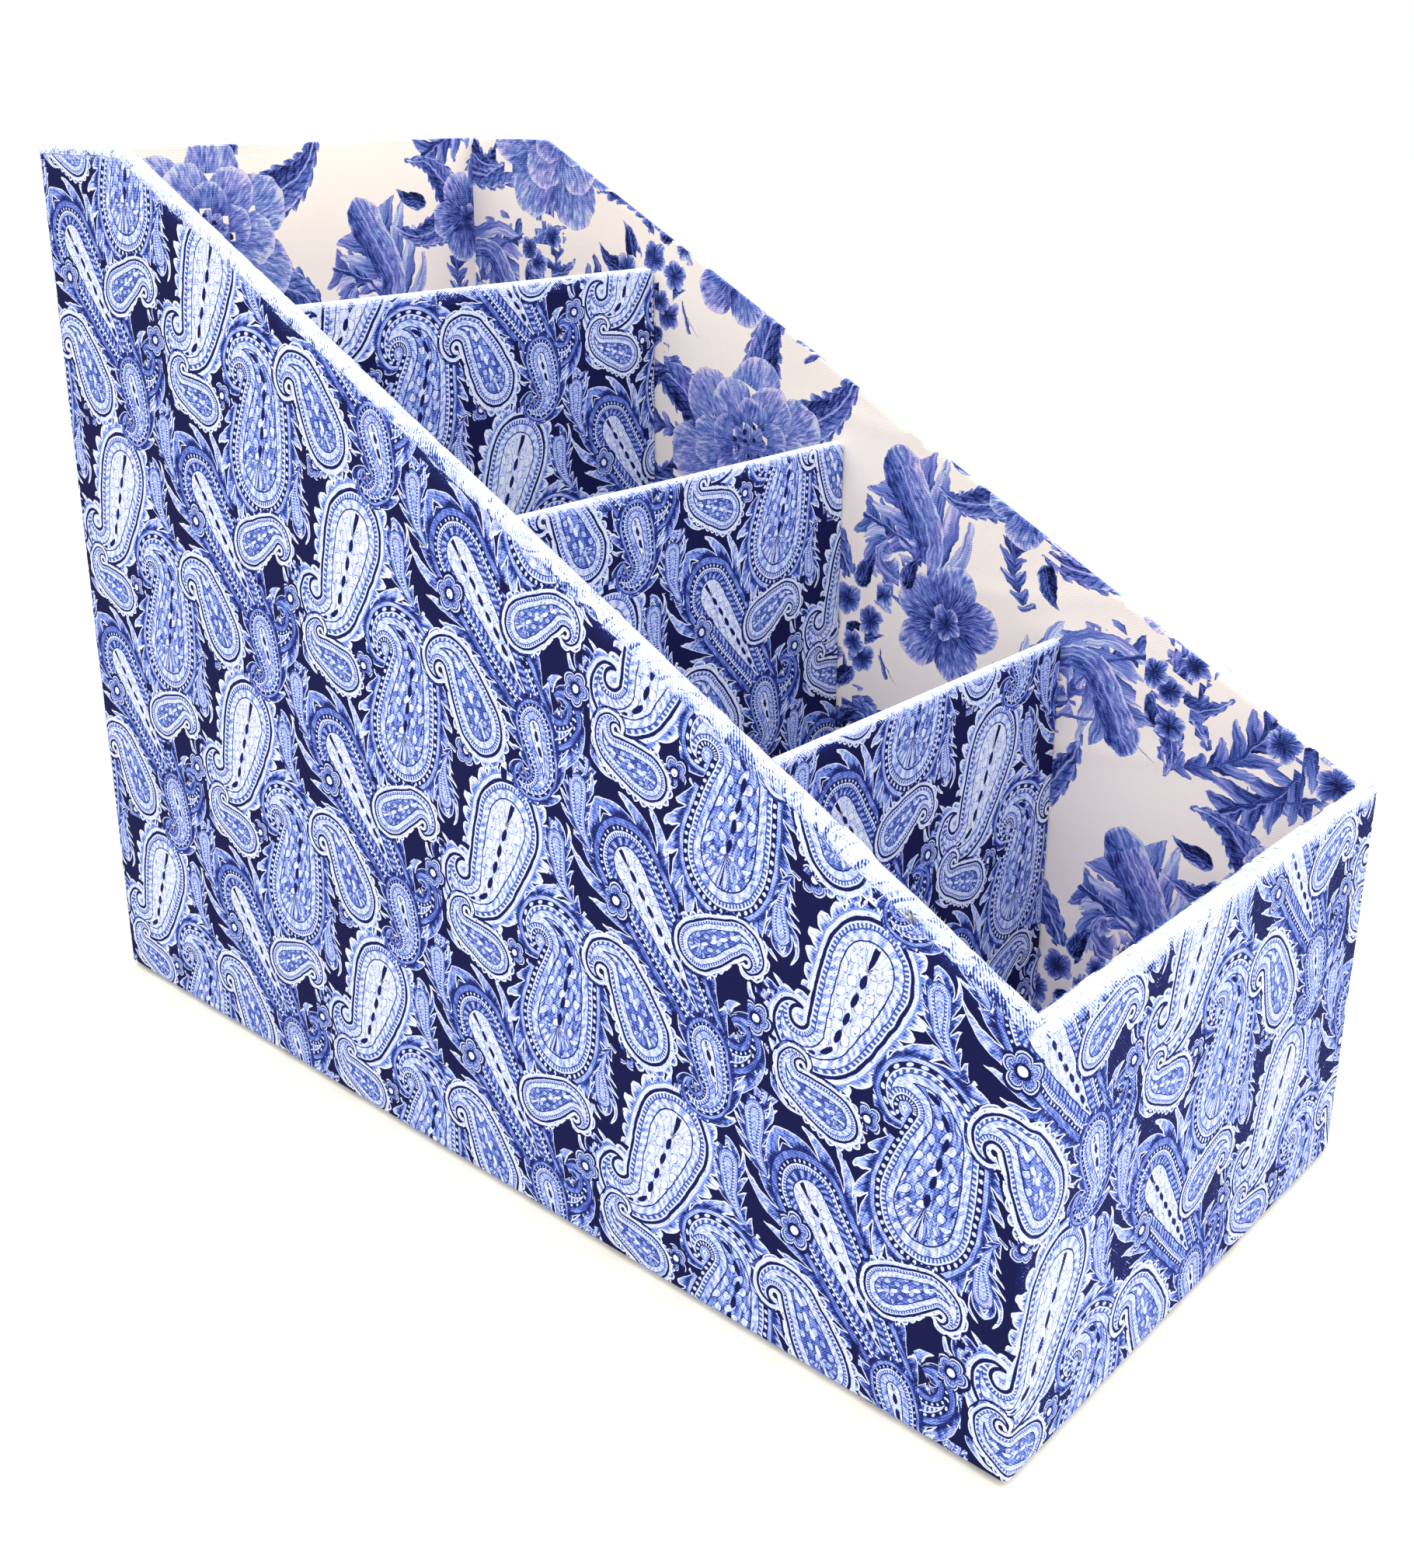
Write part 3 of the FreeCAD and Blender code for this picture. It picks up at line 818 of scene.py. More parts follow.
def sheet_faces(outer, inner, kept, closed):
    """Faces of a sheet from the numbers of its points, the outer grid and the inner one: both sides, the
    first and last row's edges and, unless it is closed, the edges at both ends, where one face goes past
    all the rows that the inner grid leaves out. The outer side's faces come first."""
    faces = quads(outer[:-1, :-1], outer[:-1, 1:], outer[1:, 1:], outer[1:, :-1])
    faces += quads(inner[:-1, :-1], inner[1:, :-1], inner[1:, 1:], inner[:-1, 1:])
    faces += quads(outer[0, 1:], outer[0, :-1], inner[0, :-1], inner[0, 1:])
    faces += quads(outer[-1, :-1], outer[-1, 1:], inner[-1, 1:], inner[-1, :-1])
    if not closed:
        for number, (low, high) in enumerate(zip(kept[:-1], kept[1:])):
            for column, turn in ((0, 1), (-1, -1)):
                end = [inner[number, column], *outer[low:high + 1, column], inner[number + 1, column]]
                faces.append([int(corner) for corner in end[::turn]])
    return faces


four = np.arange(4).reshape(2, 2)
print("faces of a sheet of one cell:", len(sheet_faces(four, four + 4, [0, 1], False)))

# %% What a sheet carries
GROUPS = [PARAMETERS[start:start + 3] for start in range(0, len(PARAMETERS), 3)]


def add_attribute(mesh, name, kind, domain, values):
    """Give a mesh a named attribute: a vector for each corner or face, or a number for each point."""
    field = "value" if kind == "FLOAT" else "vector"
    mesh.attributes.new(name, kind, domain).data.foreach_set(field, values.ravel())


def store_print(mesh, fabric, pattern):
    """Store a print's two slots on the mesh: at each corner its place in the motif, and for each face
    the motif's sizes, three to a vector. The faces that don't show lie far from every motif."""
    for slot, (places, sizes) in zip(("below", "top"), lay_print(fabric, pattern)):
        at = np.full((len(mesh.loops), 3), NOWHERE, np.float32)
        at[:len(places), :2] = places
        add_attribute(mesh, slot + "_place", "FLOAT_VECTOR", "CORNER", at)
        for number, group in enumerate(GROUPS):
            row = np.zeros((len(mesh.polygons), 3), np.float32)
            row[:len(sizes), :len(group)] = sizes[:, number * 3:number * 3 + len(group)]
            add_attribute(mesh, "%s_%d" % (slot, number), "FLOAT_VECTOR", "FACE", row)


def declare_sheet(fabric):
    """The text for a sheet's flat cut: the fabric's own coordinates give its width and length. Its area is
    worked out too, but not used.
    """
    flat = fabric.reshape(-1, 2)
    width, length = ((flat.max(0) - flat.min(0)) * MM).tolist()
    across, along = np.diff(fabric, axis=1)[:-1], np.diff(fabric, axis=0)[:, :-1]
    cells = abs(across[..., 0] * along[..., 1] - across[..., 1] * along[..., 0])
    area = min(float(cells.sum()) * MM ** 2, width * length)
    return "flat %.0f x %.0f mm" % (width / MM, length / MM)


print("a face carries", len(PARAMETERS), "sizes in", len(GROUPS), "vectors for each of its two motifs")

# %% Sheet of cloth from a grid
SHARP_FOLD = math.radians(50)


def cloth_piece(name, points, fabric, node, pattern, cloth, closed=False, kept=None,
                thickness=CLOTH, pale=None):
    """Make a sheet from a grid of points, rows by columns, outer side first. cloth is its finish and its
    back's finish. kept are the rows that the hidden side repeats. A closed sheet's last
    column is its first one again. pale is how far the print is whitened at each point, partly for wear
    and partly as painted glare where the light is brightest."""
    rows, columns = points.shape[:2]
    kept = np.arange(rows) if kept is None else np.asarray(kept)
    normals = normals_of(points)
    if closed:
        seam = normals[:, 0] + normals[:, -1]
        seam /= np.linalg.norm(seam, axis=1, keepdims=True)
        normals[:, 0] = normals[:, -1] = seam
    hidden = (points - normals * thickness)[kept]
    used = columns - 1 if closed else columns
    column = np.arange(columns)[None] % used
    outer = np.arange(rows)[:, None] * used + column
    inner = (rows + np.arange(len(kept)))[:, None] * used + column
    faces = sheet_faces(outer, inner, kept, closed)
    shown = (rows - 1) * (columns - 1)
    mesh = bpy.data.meshes.new(name)
    vertices = np.concatenate([points[:, :used].reshape(-1, 3), hidden[:, :used].reshape(-1, 3)]) * MM
    mesh.from_pydata(vertices.tolist(), [], faces)
    mesh.shade_smooth()
    mesh.set_sharp_from_angle(angle=SHARP_FOLD)
    mesh.polygons.foreach_set("material_index", (np.arange(len(faces)) >= shown).astype(np.int32))
    uv = np.zeros((len(mesh.loops), 2), np.float32)
    uv[:shown * 4] = on_corners(fabric)
    mesh.uv_layers.new(name="fabric").data.foreach_set("uv", uv.ravel())
    if pattern:
        store_print(mesh, fabric, pattern)
    if pale is not None:
        wear_and_glare = np.zeros(len(mesh.vertices), np.float32)
        wear_and_glare[:rows * used] = np.broadcast_to(pale, (rows, columns))[:, :used].ravel()
        add_attribute(mesh, "pale", "FLOAT", "POINT", wear_and_glare)
    piece = bpy.data.objects.new(name, mesh)
    bpy.context.scene.collection.objects.link(piece)
    mesh.materials.append(cloth[0])
    mesh.materials.append(cloth[1])
    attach(piece, "root")
    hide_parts(node)
    cut = declare_sheet(fabric)
    print(name, "columns", columns, "rows", rows, "triangles", sum(len(p) - 2 for p in faces), cut)


# %% [markdown]
# Dyes. The print is one number, ink, that a colour ramp turns into navy, blues and white, so every band
# and bead above is plain arithmetic. It is easier to name a colour as it looks on the lit box than as it
# is, so each dye is given that way, and made darker by what the light adds.

# %% Dyes
LIT = 1.2


def dye(red, green, blue):
    """A dye, named by the colour that it has on a wall in full light, which is LIT times its own."""
    return tuple(part / LIT for part in linear(red, green, blue)[:3]) + (1.0,)


NAVY = dye(20, 23, 74)
PAISLEY_INKS = [(0.0, NAVY), (0.28, dye(35, 45, 114)), (0.4, dye(54, 73, 158)), (0.5, dye(84, 108, 203)),
                (0.6, dye(124, 150, 232)), (0.7, dye(163, 184, 246)), (0.8, dye(204, 218, 251)),
                (1.0, dye(240, 246, 252))]
CREAM = linear(253, 242, 229)
FLORAL_INKS = [(0.0, dye(9, 12, 36)), (0.22, dye(36, 48, 108)), (0.4, dye(66, 86, 164)),
               (0.6, dye(108, 130, 208)), (0.78, dye(156, 171, 232)), (0.9, dye(196, 207, 243)),
               (1.0, dye(230, 234, 250))]
print("navy dye", [round(part, 4) for part in NAVY[:3]])

# %% The ink of a print
WOBBLE_SCALE = 0.22


def motif_values(recipe, slot):
    """One slot's place and row of sizes, read back from the mesh."""
    x, y, nothing = recipe.parts(recipe.attribute(slot + "_place"))
    m = {}
    for number, group in enumerate(GROUPS):
        m.update(zip(group, recipe.parts(recipe.attribute("%s_%d" % (slot, number)))))
    return x, y, m


def print_ink(recipe, fabric, pattern, paint, mottle):
    """Ink and cover of a print: the lower motif's leaves, its body, and then the top motif's, whose
    leaves pass under the lower body and whose own body has a halo of bare ground round it. Places
    wander a little, as on cloth that isn't printed quite flat."""
    wander_x, wander_y, nothing = recipe.parts(recipe.noise(fabric, WOBBLE_SCALE, 3.0, output=1))
    painted = {}
    for slot in ("below", "top"):
        x, y, m = motif_values(recipe, slot)
        x = x + (wander_x - 0.5) * (3 * pattern["wobble"])
        y = y + (wander_y - 0.5) * (3 * pattern["wobble"])
        painted[slot] = paint(x, y, m, mottle, recipe.grain)
    low_depth, low_leaf, low_leaf_ink, low_ink = painted["below"]
    depth, leaf, leaf_ink, body_ink = painted["top"]
    near, low_near = cover(depth + pattern["halo"]), cover(low_depth + pattern["halo"])
    low_body = cover(low_depth) * (1 - near)
    body = cover(depth)
    leaf_shown = leaf * (1 - low_near)
    ink = pick(low_leaf, low_leaf_ink, 0.0)
    ink = pick(near * (1 - leaf), 0.0, ink)
    ink = pick(leaf_shown, leaf_ink, ink)
    ink = pick(low_body, low_ink, ink)
    covered = 1 - (1 - low_leaf) * (1 - leaf_shown) * (1 - low_body) * (1 - body)
    return pick(body, body_ink, ink), covered


print("the print wobbles over lengths of about", round(1 / WOBBLE_SCALE, 1), "mm")

# %% [markdown]
# Wear, painted glare and dots. Where the cloth goes over a rim it is rubbed, and the light is brightest,
# so the rims of the box look nearly white with blue threads in them. That white is partly wear and partly
# a painted highlight for the glare. White paint on the edge would be one more piece; here a number on the
# mesh says how pale each point is, and noise on the scale of the threads does the rest. The painted parts
# also have the fine dots of a copper plate print.

# %% Rubbed edges, painted glare and dots
TWILL = 0.85
GLARE_AND_WEAR_GAIN, THREAD_NOISE, PATCH_NOISE, TWILL_LINES, GLARE_AND_WEAR_START = 1.25, 1.4, 0.9, 0.22, 0.62
DOTS_PER_MM, DOT_RADIUS, DOT_INK = 0.95, 0.22, 0.62


# This paints wear and also a painted highlight: the rims are whitened where the light is brightest.
def rubbed(recipe, fabric, ink, covered):
    """Ink and cover where cloth goes over an edge: the pale attribute says how far it is lightened and
    how much of it turns white, partly from rubbing and partly as a painted highlight for the glare on the
    rims.
    Single threads keep their blue, and the bare ground is whitened with the rest."""
    u, v, nothing = recipe.parts(fabric)
    pale = recipe.attribute("pale", FACTOR)
    threads = recipe.noise(fabric, 1.5, 2.0)
    patches = recipe.noise(fabric, 0.22, 2.0)
    twill = calc("SINE", (u + v) * (TURN / TWILL))
    worn_and_glared = pale * GLARE_AND_WEAR_GAIN + THREAD_NOISE * (threads - 0.5) + PATCH_NOISE * (patches - 0.5)
    worn_and_glared = worn_and_glared + TWILL_LINES * twill - GLARE_AND_WEAR_START
    ink = over(pick(clamp(pale * 0.85), 0.78, ink), worn_and_glared, 1.0, 0.5)
    return ink, calc("MAXIMUM", covered, calc("GREATER_THAN", pale, 0.01))


def stippled(recipe, fabric, ink, covered):
    """Fine dots over the painted parts: dark ones on light ink and light ones on dark ink."""
    dots = recipe.node("ShaderNodeTexVoronoi", (), {"Vector": fabric, "Scale": DOTS_PER_MM}).socket.node
    distance, colour = Value(recipe, dots.outputs["Distance"]), Value(recipe, dots.outputs["Color"])
    chance = recipe.parts(colour)[0]
    dot = cover(DOT_RADIUS * chance - distance, 0.12) * covered * clamp(ink * 4.0 - 0.8)
    return ink + dot * (DOT_INK - ink) * 1.5


print("cloth begins to bleach where pale is", GLARE_AND_WEAR_START / GLARE_AND_WEAR_GAIN)

# %% [markdown]
# Finishes. Cotton is a weave of crossing threads, so its bump is a product of two sine waves, and the
# ribs that show on the dark ground are a slightly lighter thread every two thirds of a millimetre. A
# picture of a weave would repeat and blur. Board, card and paper are plain, with flecks of fibre.

# %% Printed cotton
RIB, RIB_INK = 0.66, 0.045
THREAD = 0.33
BUMP_DEPTH, COTTON_BUMP = 0.0001, 0.35
MOTTLE_GAIN = 1.6
DRIFT_SCALE, DRIFT_START, DRIFT_EDGE = 0.09, 0.54, 0.2


def weave_height(recipe, u, v):
    """Threads that pass over and under each other: the product of two sine waves, one along each way."""
    return calc("SINE", u * (math.pi / THREAD)) * calc("SINE", v * (math.pi / THREAD))


def bumpy(recipe, height, strength, sockets):
    """The end of each finish: a surface with these sockets and a bump of this height."""
    bump = recipe.node("ShaderNodeBump", (), {"Strength": strength, "Distance": BUMP_DEPTH, "Height": height})
    return recipe.finish(recipe.node("ShaderNodeBsdfPrincipled", (), dict(sockets, Normal=bump)))


def printed_cotton(name, pattern, paint, ramp, ground, scale, tint, contrast):
    """Cotton with a print. scale is the grain of the dye's unevenness, per millimetre, tint is what the
    blues drift towards from place to place, and contrast is how much single threads differ in ink."""
    recipe = Recipe(bpy.data.materials.new(name))
    fabric = recipe.node("ShaderNodeUVMap", {"uv_map": "fabric"})
    u, v, nothing = recipe.parts(fabric)
    mottle = stronger(recipe.noise(fabric, scale, 4.0, 0.65), MOTTLE_GAIN)
    ink, covered = print_ink(recipe, fabric, pattern, paint, mottle)
    rib = calc("SINE", v * (TURN / RIB))
    weave = weave_height(recipe, u, v)
    ink = stippled(recipe, fabric, ink, covered) + weave * mottle * contrast
    ink, covered = rubbed(recipe, fabric, ink, covered)
    inked = recipe.node("ShaderNodeValToRGB", {"stops": ramp}, {0: ink + RIB_INK * rib})
    drift = recipe.noise(fabric, DRIFT_SCALE, 3.0)
    tinted = recipe.mix(cover(drift - DRIFT_START, DRIFT_EDGE), inked, tint, "MULTIPLY")
    return bumpy(recipe, weave + 0.5 * rib, COTTON_BUMP, {
        "Base Color": recipe.mix(covered, ground, tinted), "Roughness": 0.85, "Specular IOR Level": 0.08})


paisley = printed_cotton("paisley_cotton", PAISLEY, paint_motif, PAISLEY_INKS, NAVY, 0.55,
                         (1.0, 0.97, 1.0, 1), 0.2)
floral = printed_cotton("floral_cotton", FLORAL, paint_flower, FLORAL_INKS, CREAM, 0.4,
                        (1.14, 0.94, 1.0, 1), 0.06)
print("printed cottons:", paisley.name, floral.name, "nodes in the first:", len(paisley.node_tree.nodes))

# %% Plain cotton
def plain_cotton(name, colour):
    """Unprinted cotton: one dye with a little unevenness, and the weave."""
    recipe = Recipe(bpy.data.materials.new(name))
    fabric = recipe.node("ShaderNodeUVMap", {"uv_map": "fabric"})
    u, v, nothing = recipe.parts(fabric)
    paler = tuple(min(1.0, 1.15 * part) for part in colour)
    dyed = recipe.mix(recipe.noise(fabric, 0.2, 3.0), colour, paler)
    return bumpy(recipe, weave_height(recipe, u, v), COTTON_BUMP, {
        "Base Color": dyed, "Roughness": 0.88, "Specular IOR Level": 0.2, "Sheen Weight": 0.2})


cotton_back = plain_cotton("cotton_back", linear(84, 88, 140))
lining_back = plain_cotton("lining_back", CREAM)
base_cotton = plain_cotton("base_cotton", linear(45, 48, 110))
PRINTED = (paisley, cotton_back, "paisley_cloth")
LINED = (floral, lining_back, "floral_cloth")
PLAIN_BASE = (base_cotton, base_cotton, "base_cloth")
print("backs and underside:", cotton_back.name, lining_back.name, base_cotton.name)

# %% Board, card and paper
FLECK_START, FLECK_EDGE = 0.56, 0.12


def speckled(name, colour, fleck, scale):
    """Board, card, paper or yarn: a plain colour with flecks of fibre, read at the place in the object."""
    recipe = Recipe(bpy.data.materials.new(name))
    place = recipe.node("ShaderNodeTexCoord", (), (), "Object")
    grain = recipe.noise(place, scale, 6.0, 0.75)
    return bumpy(recipe, grain, 0.2, {
        "Base Color": recipe.mix(cover(grain - FLECK_START, FLECK_EDGE), colour, fleck), "Roughness": 0.9})


BOARD_FINISHES = {
    "board": speckled("grey_board", linear(150, 146, 136), linear(120, 116, 108), 900.0),
    "card": speckled("white_card", linear(226, 221, 208), linear(205, 198, 184), 700.0),
    "tape": speckled("gummed_paper", linear(183, 148, 106), linear(160, 126, 88), 500.0),
}
for node_name, node in nodes.items():
    for word, finish in BOARD_FINISHES.items():
        if word in node_name:
            node.data.materials.clear()
            node.data.materials.append(finish)
            print(node_name, "gets", finish.name)

# %% [markdown]
# The rim's line. Seen from the side the rim is level at the back and then slopes straight down to the
# front. A hard bend would look cut, so the two lines are joined by a square-root curve that rounds the
# bend by less than a quarter of a millimetre.

# %% Rim
BEND = HALF_DEPTH - LEVEL_TOP
BEND_SOFTNESS = 0.8
WAVES = 5


def rim_height(y):
    """Height of the rim at depth y: level, less the slope times a soft ramp that starts at the bend."""
    before = BEND - y
    return BACK_HEIGHT - SLOPE * (before + np.sqrt(before ** 2 + BEND_SOFTNESS ** 2)) / 2


def rim_lean(y):
    """Slope of the rim at depth y, the derivative of its height."""
    before = BEND - y
    return SLOPE * (1 + before / np.sqrt(before ** 2 + BEND_SOFTNESS ** 2)) / 2


def ripple(u, v, length, seed=0.0):
    """Unevenness of cloth on board, from -1 to 1: sine waves of about one length, each turned another
    way and a little longer than the one before."""
    total = 0
    for number in range(WAVES):
        angle = 1.3 + 2.4 * number + seed
        steps = u * math.cos(angle) + v * math.sin(angle)
        total = total + np.sin(steps * TURN / (length * (1 + 0.23 * number)) + 1.7 * number + seed)
    return total / WAVES


print("rim at the front, bend and back:", rim_height(np.array([-HALF_DEPTH, BEND, HALF_DEPTH])).round(2))

# %% [markdown]
# The outer cloth is one long strip round the four walls, turned under at the bottom. Its plan is a
# rounded rectangle and its section an upright line with a small arc at each end. Going round the plan
# gives the columns, going up the section gives the rows. Towards the rim the print is painted pale, partly
# for wear and partly as painted glare, and the front is painted a little paler all over as painted light.

# %% Plan of the walls
CORNER = 1.3
CELL = 1.9
CORNER_STEPS = 5
SHARP = 0.05


def plan_columns():
    """Columns round the walls from the back left corner: for each its place along the wall as shares of
    the half sizes, the direction it faces, and the distance walked."""
    shares, facing, walked = [], [], []
    start = 0.0
    arc = CORNER * math.pi / 2
    stops = [(-1, 1), (-1, -1), (1, -1), (1, 1), (-1, 1)]
    for number, (here, there) in enumerate(zip(stops[:-1], stops[1:])):
        run = 2 * ((HALF_DEPTH, HALF_WIDTH)[number % 2] - CORNER)
        steps = round(run / CELL)
        part = np.linspace(0, 1, steps, endpoint=False)[:, None]
        shares.append(np.array(here) + part * (np.array(there) - np.array(here)))
        angle = math.pi + number * math.pi / 2
        facing.append(np.full(steps, angle))
        walked.append(start + run * part[:, 0])
        part = np.linspace(0, 1, CORNER_STEPS, endpoint=False)
        shares.append(np.repeat([there], CORNER_STEPS, 0))
        facing.append(angle + part * math.pi / 2)
        walked.append(start + run + arc * part)
        start += run + arc
    shares.append(np.array([stops[0]]))
    facing.append([math.pi])
    walked.append([start])
    return np.concatenate(shares), np.concatenate(facing), np.concatenate(walked)


plan_shares, plan_facing, plan_walked = plan_columns()


def on_plan(inset):
    """Places on the outline drawn in by inset: the corner's centre plus what is left of its radius."""
    centre = max(inset, CORNER)
    radius = max(CORNER - inset, SHARP)
    x = plan_shares[:, 0] * (HALF_WIDTH - centre) + radius * np.cos(plan_facing)
    y = plan_shares[:, 1] * (HALF_DEPTH - centre) + radius * np.sin(plan_facing)
    return x, y


print("round the walls:", round(plan_walked[-1], 1), "mm in", len(plan_walked), "columns")

# %% Section of the walls
BASE_TURN_IN = 18.0
BOTTOM_ROUND, TOP_ROUND = 1.0, 1.1
BINDING_RISE = 0.3
BASE_ROWS, ARC_ROWS, WALL_ROWS = 4, 6, 118
quarter = spaced((0, math.pi / 2, ARC_ROWS))
wall_y = on_plan(0.0)[1]
wall_top = rim_height(wall_y) - BINDING_RISE * np.cos(plan_facing) ** 2
wall_start = WRAP_BOTTOM + BOTTOM_ROUND
sections = []
for inset in spaced((BASE_TURN_IN, BOTTOM_ROUND, BASE_ROWS))[:-1]:
    sections.append((inset, WRAP_BOTTOM, wall_start - inset))
for angle in quarter[:-1]:
    height = WRAP_BOTTOM + BOTTOM_ROUND * (1 - math.cos(angle))
    sections.append((BOTTOM_ROUND * (1 - math.sin(angle)), height, height))
for share in np.linspace(0, 1, WALL_ROWS):
    height = wall_start + share * (wall_top - TOP_ROUND - WRAP_BOTTOM - BOTTOM_ROUND)
    sections.append((0.0, height, height))
for angle in quarter[1:]:
    height = wall_top - TOP_ROUND * (1 - math.sin(angle))
    sections.append((TOP_ROUND * (1 - math.cos(angle)), height, wall_top - TOP_ROUND * (1 - angle)))
print("rows up the section:", len(sections), "of which up the wall:", WALL_ROWS)

# %% Outer cloth
BULGE, BULGE_LENGTH = 0.12, 34.0
RIM_WEAR_AND_GLARE, RIM_WEAR_AND_GLARE_DEPTH = 0.62, 7.0
FRONT_PAINTED_LIGHT = 0.13
HIDDEN_STEP = 9


def hidden_rows(before, rows, after):
    """Rows that the hidden side repeats: every HIDDEN_STEP-th of the flat ones, and all after them."""
    return [*range(before, before + rows, HIDDEN_STEP), *range(before + rows, before + rows + after)]


wrap_points, wrap_fabric, wrap_wear_and_glare = [], [], []
for inset, height, walked in sections:
    bulge = BULGE * ripple(plan_walked, walked, BULGE_LENGTH) * (inset == 0)
    x, y = on_plan(inset)
    wrap_points.append(grid_of(x + bulge * np.cos(plan_facing), y + bulge * np.sin(plan_facing), height))
    wrap_fabric.append(grid_of(plan_walked, walked))
    # Painted glare and wear: the print is painted paler over the last millimetres below the rim.
    wrap_wear_and_glare.append(RIM_WEAR_AND_GLARE * np.clip(1 - (wall_top - height) / RIM_WEAR_AND_GLARE_DEPTH, 0, 1) ** 2)
wrap_points, wrap_fabric, wrap_wear_and_glare = np.array(wrap_points), np.array(wrap_fabric), np.array(wrap_wear_and_glare)
# Painted light: the front wall is painted a little paler all over, for the brighter light in front.
wrap_wear_and_glare += FRONT_PAINTED_LIGHT * np.clip(-np.sin(plan_facing), 0, 1)
first_wall = BASE_ROWS + ARC_ROWS
bottom_arc = range(BASE_ROWS - 1, first_wall)
cloth_piece("outer_cloth", wrap_points, wrap_fabric, "outer_wrap", PAISLEY, PRINTED,
            closed=True, kept=[0, *bottom_arc, *hidden_rows(first_wall, WALL_ROWS, ARC_ROWS)], pale=wrap_wear_and_glare)

# %% [markdown]
# Over the front and back rims the same strip is turned in. It could be one mesh with the walls, but the
# side walls end in a raw edge under their bindings, so the turned cloth is a sheet of its own: a flat
# top, a small arc and a stretch down the inside. Its ends dip a little where the corner is folded.

# %% Cloth turned over the front and back rims
# How pale the turned cloth is painted: partly wear, partly painted glare, most at the back where the light is
# brightest.
TURNED_RIM_WEAR_AND_GLARE = {"front": 0.66, "back": 0.95}
ENDS = {"front": -1, "back": 1}
FLAT_FROM = 2.2
CORNER_DIP, DIP_LENGTH, DIP_ROOM = 0.2, 2.6, 0.6
RIM_WAVE, RIM_WAVE_LENGTH = 0.06, 9.0
DOWN_STEPS = 5


def inner_turn(radius, arc_steps):
    """Section of cloth that turns down the inside of a wall: a quarter circle, then a straight stretch.
    Its points are (inset, height over the rim) pairs."""
    arc = [(TURN_IN_INNER - radius * (1 - math.sin(a)), -radius * (1 - math.cos(a)))
           for a in spaced((0, math.pi / 2, arc_steps))]
    return arc + [(TURN_IN_INNER, -drop) for drop in spaced((radius, TURN_IN, DOWN_STEPS))[1:]]


rim_section = np.array([(TOP_ROUND, 0.0), (FLAT_FROM, 0.0)] + inner_turn(TOP_ROUND, ARC_ROWS))
rim_walked = walk_along(rim_section)[:, None]
rim_grids = {}
# The columns face from one half turn, on the left wall, round to three: the front's 1.5, the back's 2.5
for wall, end in ENDS.items():
    straight = np.flatnonzero(abs(plan_facing - (2 + end / 2) * math.pi) < 1e-9)
    along = plan_walked[straight]
    across = plan_shares[straight, 0] * (HALF_WIDTH - CORNER)
    top = FRONT_HEIGHT if end < 0 else BACK_HEIGHT
    into_end = abs(across) - (HALF_WIDTH - TURN_IN_INNER - DIP_ROOM)
    dip = CORNER_DIP * np.clip(into_end / DIP_LENGTH, 0, 1) ** 2
    points = grid_of(across, end * (HALF_DEPTH - rim_section[:, :1]), top + rim_section[:, 1:] - dip)
    wave = RIM_WAVE * ripple(along, rim_section[:, :1], RIM_WAVE_LENGTH)
    points[..., 2] += wave * np.clip(rim_walked, 0, 1)
    fabric = grid_of(along, top - TOP_ROUND * (1 - math.pi / 2) + rim_walked)
    rim_grids[wall + "_rim_cloth"] = points
    cloth_piece(wall + "_rim_cloth", points, fabric, "outer_wrap", PAISLEY, PRINTED,
                pale=TURNED_RIM_WEAR_AND_GLARE[wall])

# %% [markdown]
# The sloped rims are bound with strips of their own. A strip lies over the edge and runs down the inside,
# and its raw edge stays in sight as a thin, slightly wavy line along the outer edge. It is the same kind
# of surface: a section carried along the rim's line. The left rim's strip is pieced near the front, where
# the second strip laps over the first.

# %% Rim bindings
BINDING_OUTER, BINDING_INNER = 1.3, 1.2
BINDING_ARC_ROWS = 7
BINDING_CELL, BINDING_END, BINDING_END_STEPS = 1.65, 5, 6
BINDING_CLOTH = 0.4
RAW_EDGE = 1.9
FRAY, FINE_FRAY = 0.35, 0.15
LIFT = 0.09
END_DIP, END_DIP_FROM, END_DIP_LENGTH = 0.2, 3.2, 2.3
LAP_RAMP = 2.0
BINDING_WEAR_AND_GLARE, FRONT_GLARE_LOSS, WEAR_AND_GLARE_WAVE, RIGHT_GLARE_GAIN = 0.92, 0.3, 0.1, 0.2
RAW_SHARE, WALKED_GAIN, WALKED_LENGTH = 0.55, 0.45, 5.5
END_GAP = 0.9
LAST = HALF_DEPTH - END_GAP
JOIN, JOIN_LAP = -110.0, 8.0
SIDES = {"left": -1, "right": 1}


def binding_section():
    """Section of a binding as (inset, height over the rim) pairs: up the outer face, over, and down."""
    outer_turn = [(BINDING_OUTER * (1 - math.cos(a)) - BINDING_RISE, -BINDING_OUTER * (1 - math.sin(a)))
                  for a in spaced((0, math.pi / 2, BINDING_ARC_ROWS))]
    return np.array([(-BINDING_RISE, -RAW_EDGE)] + outer_turn + inner_turn(BINDING_INNER, BINDING_ARC_ROWS))


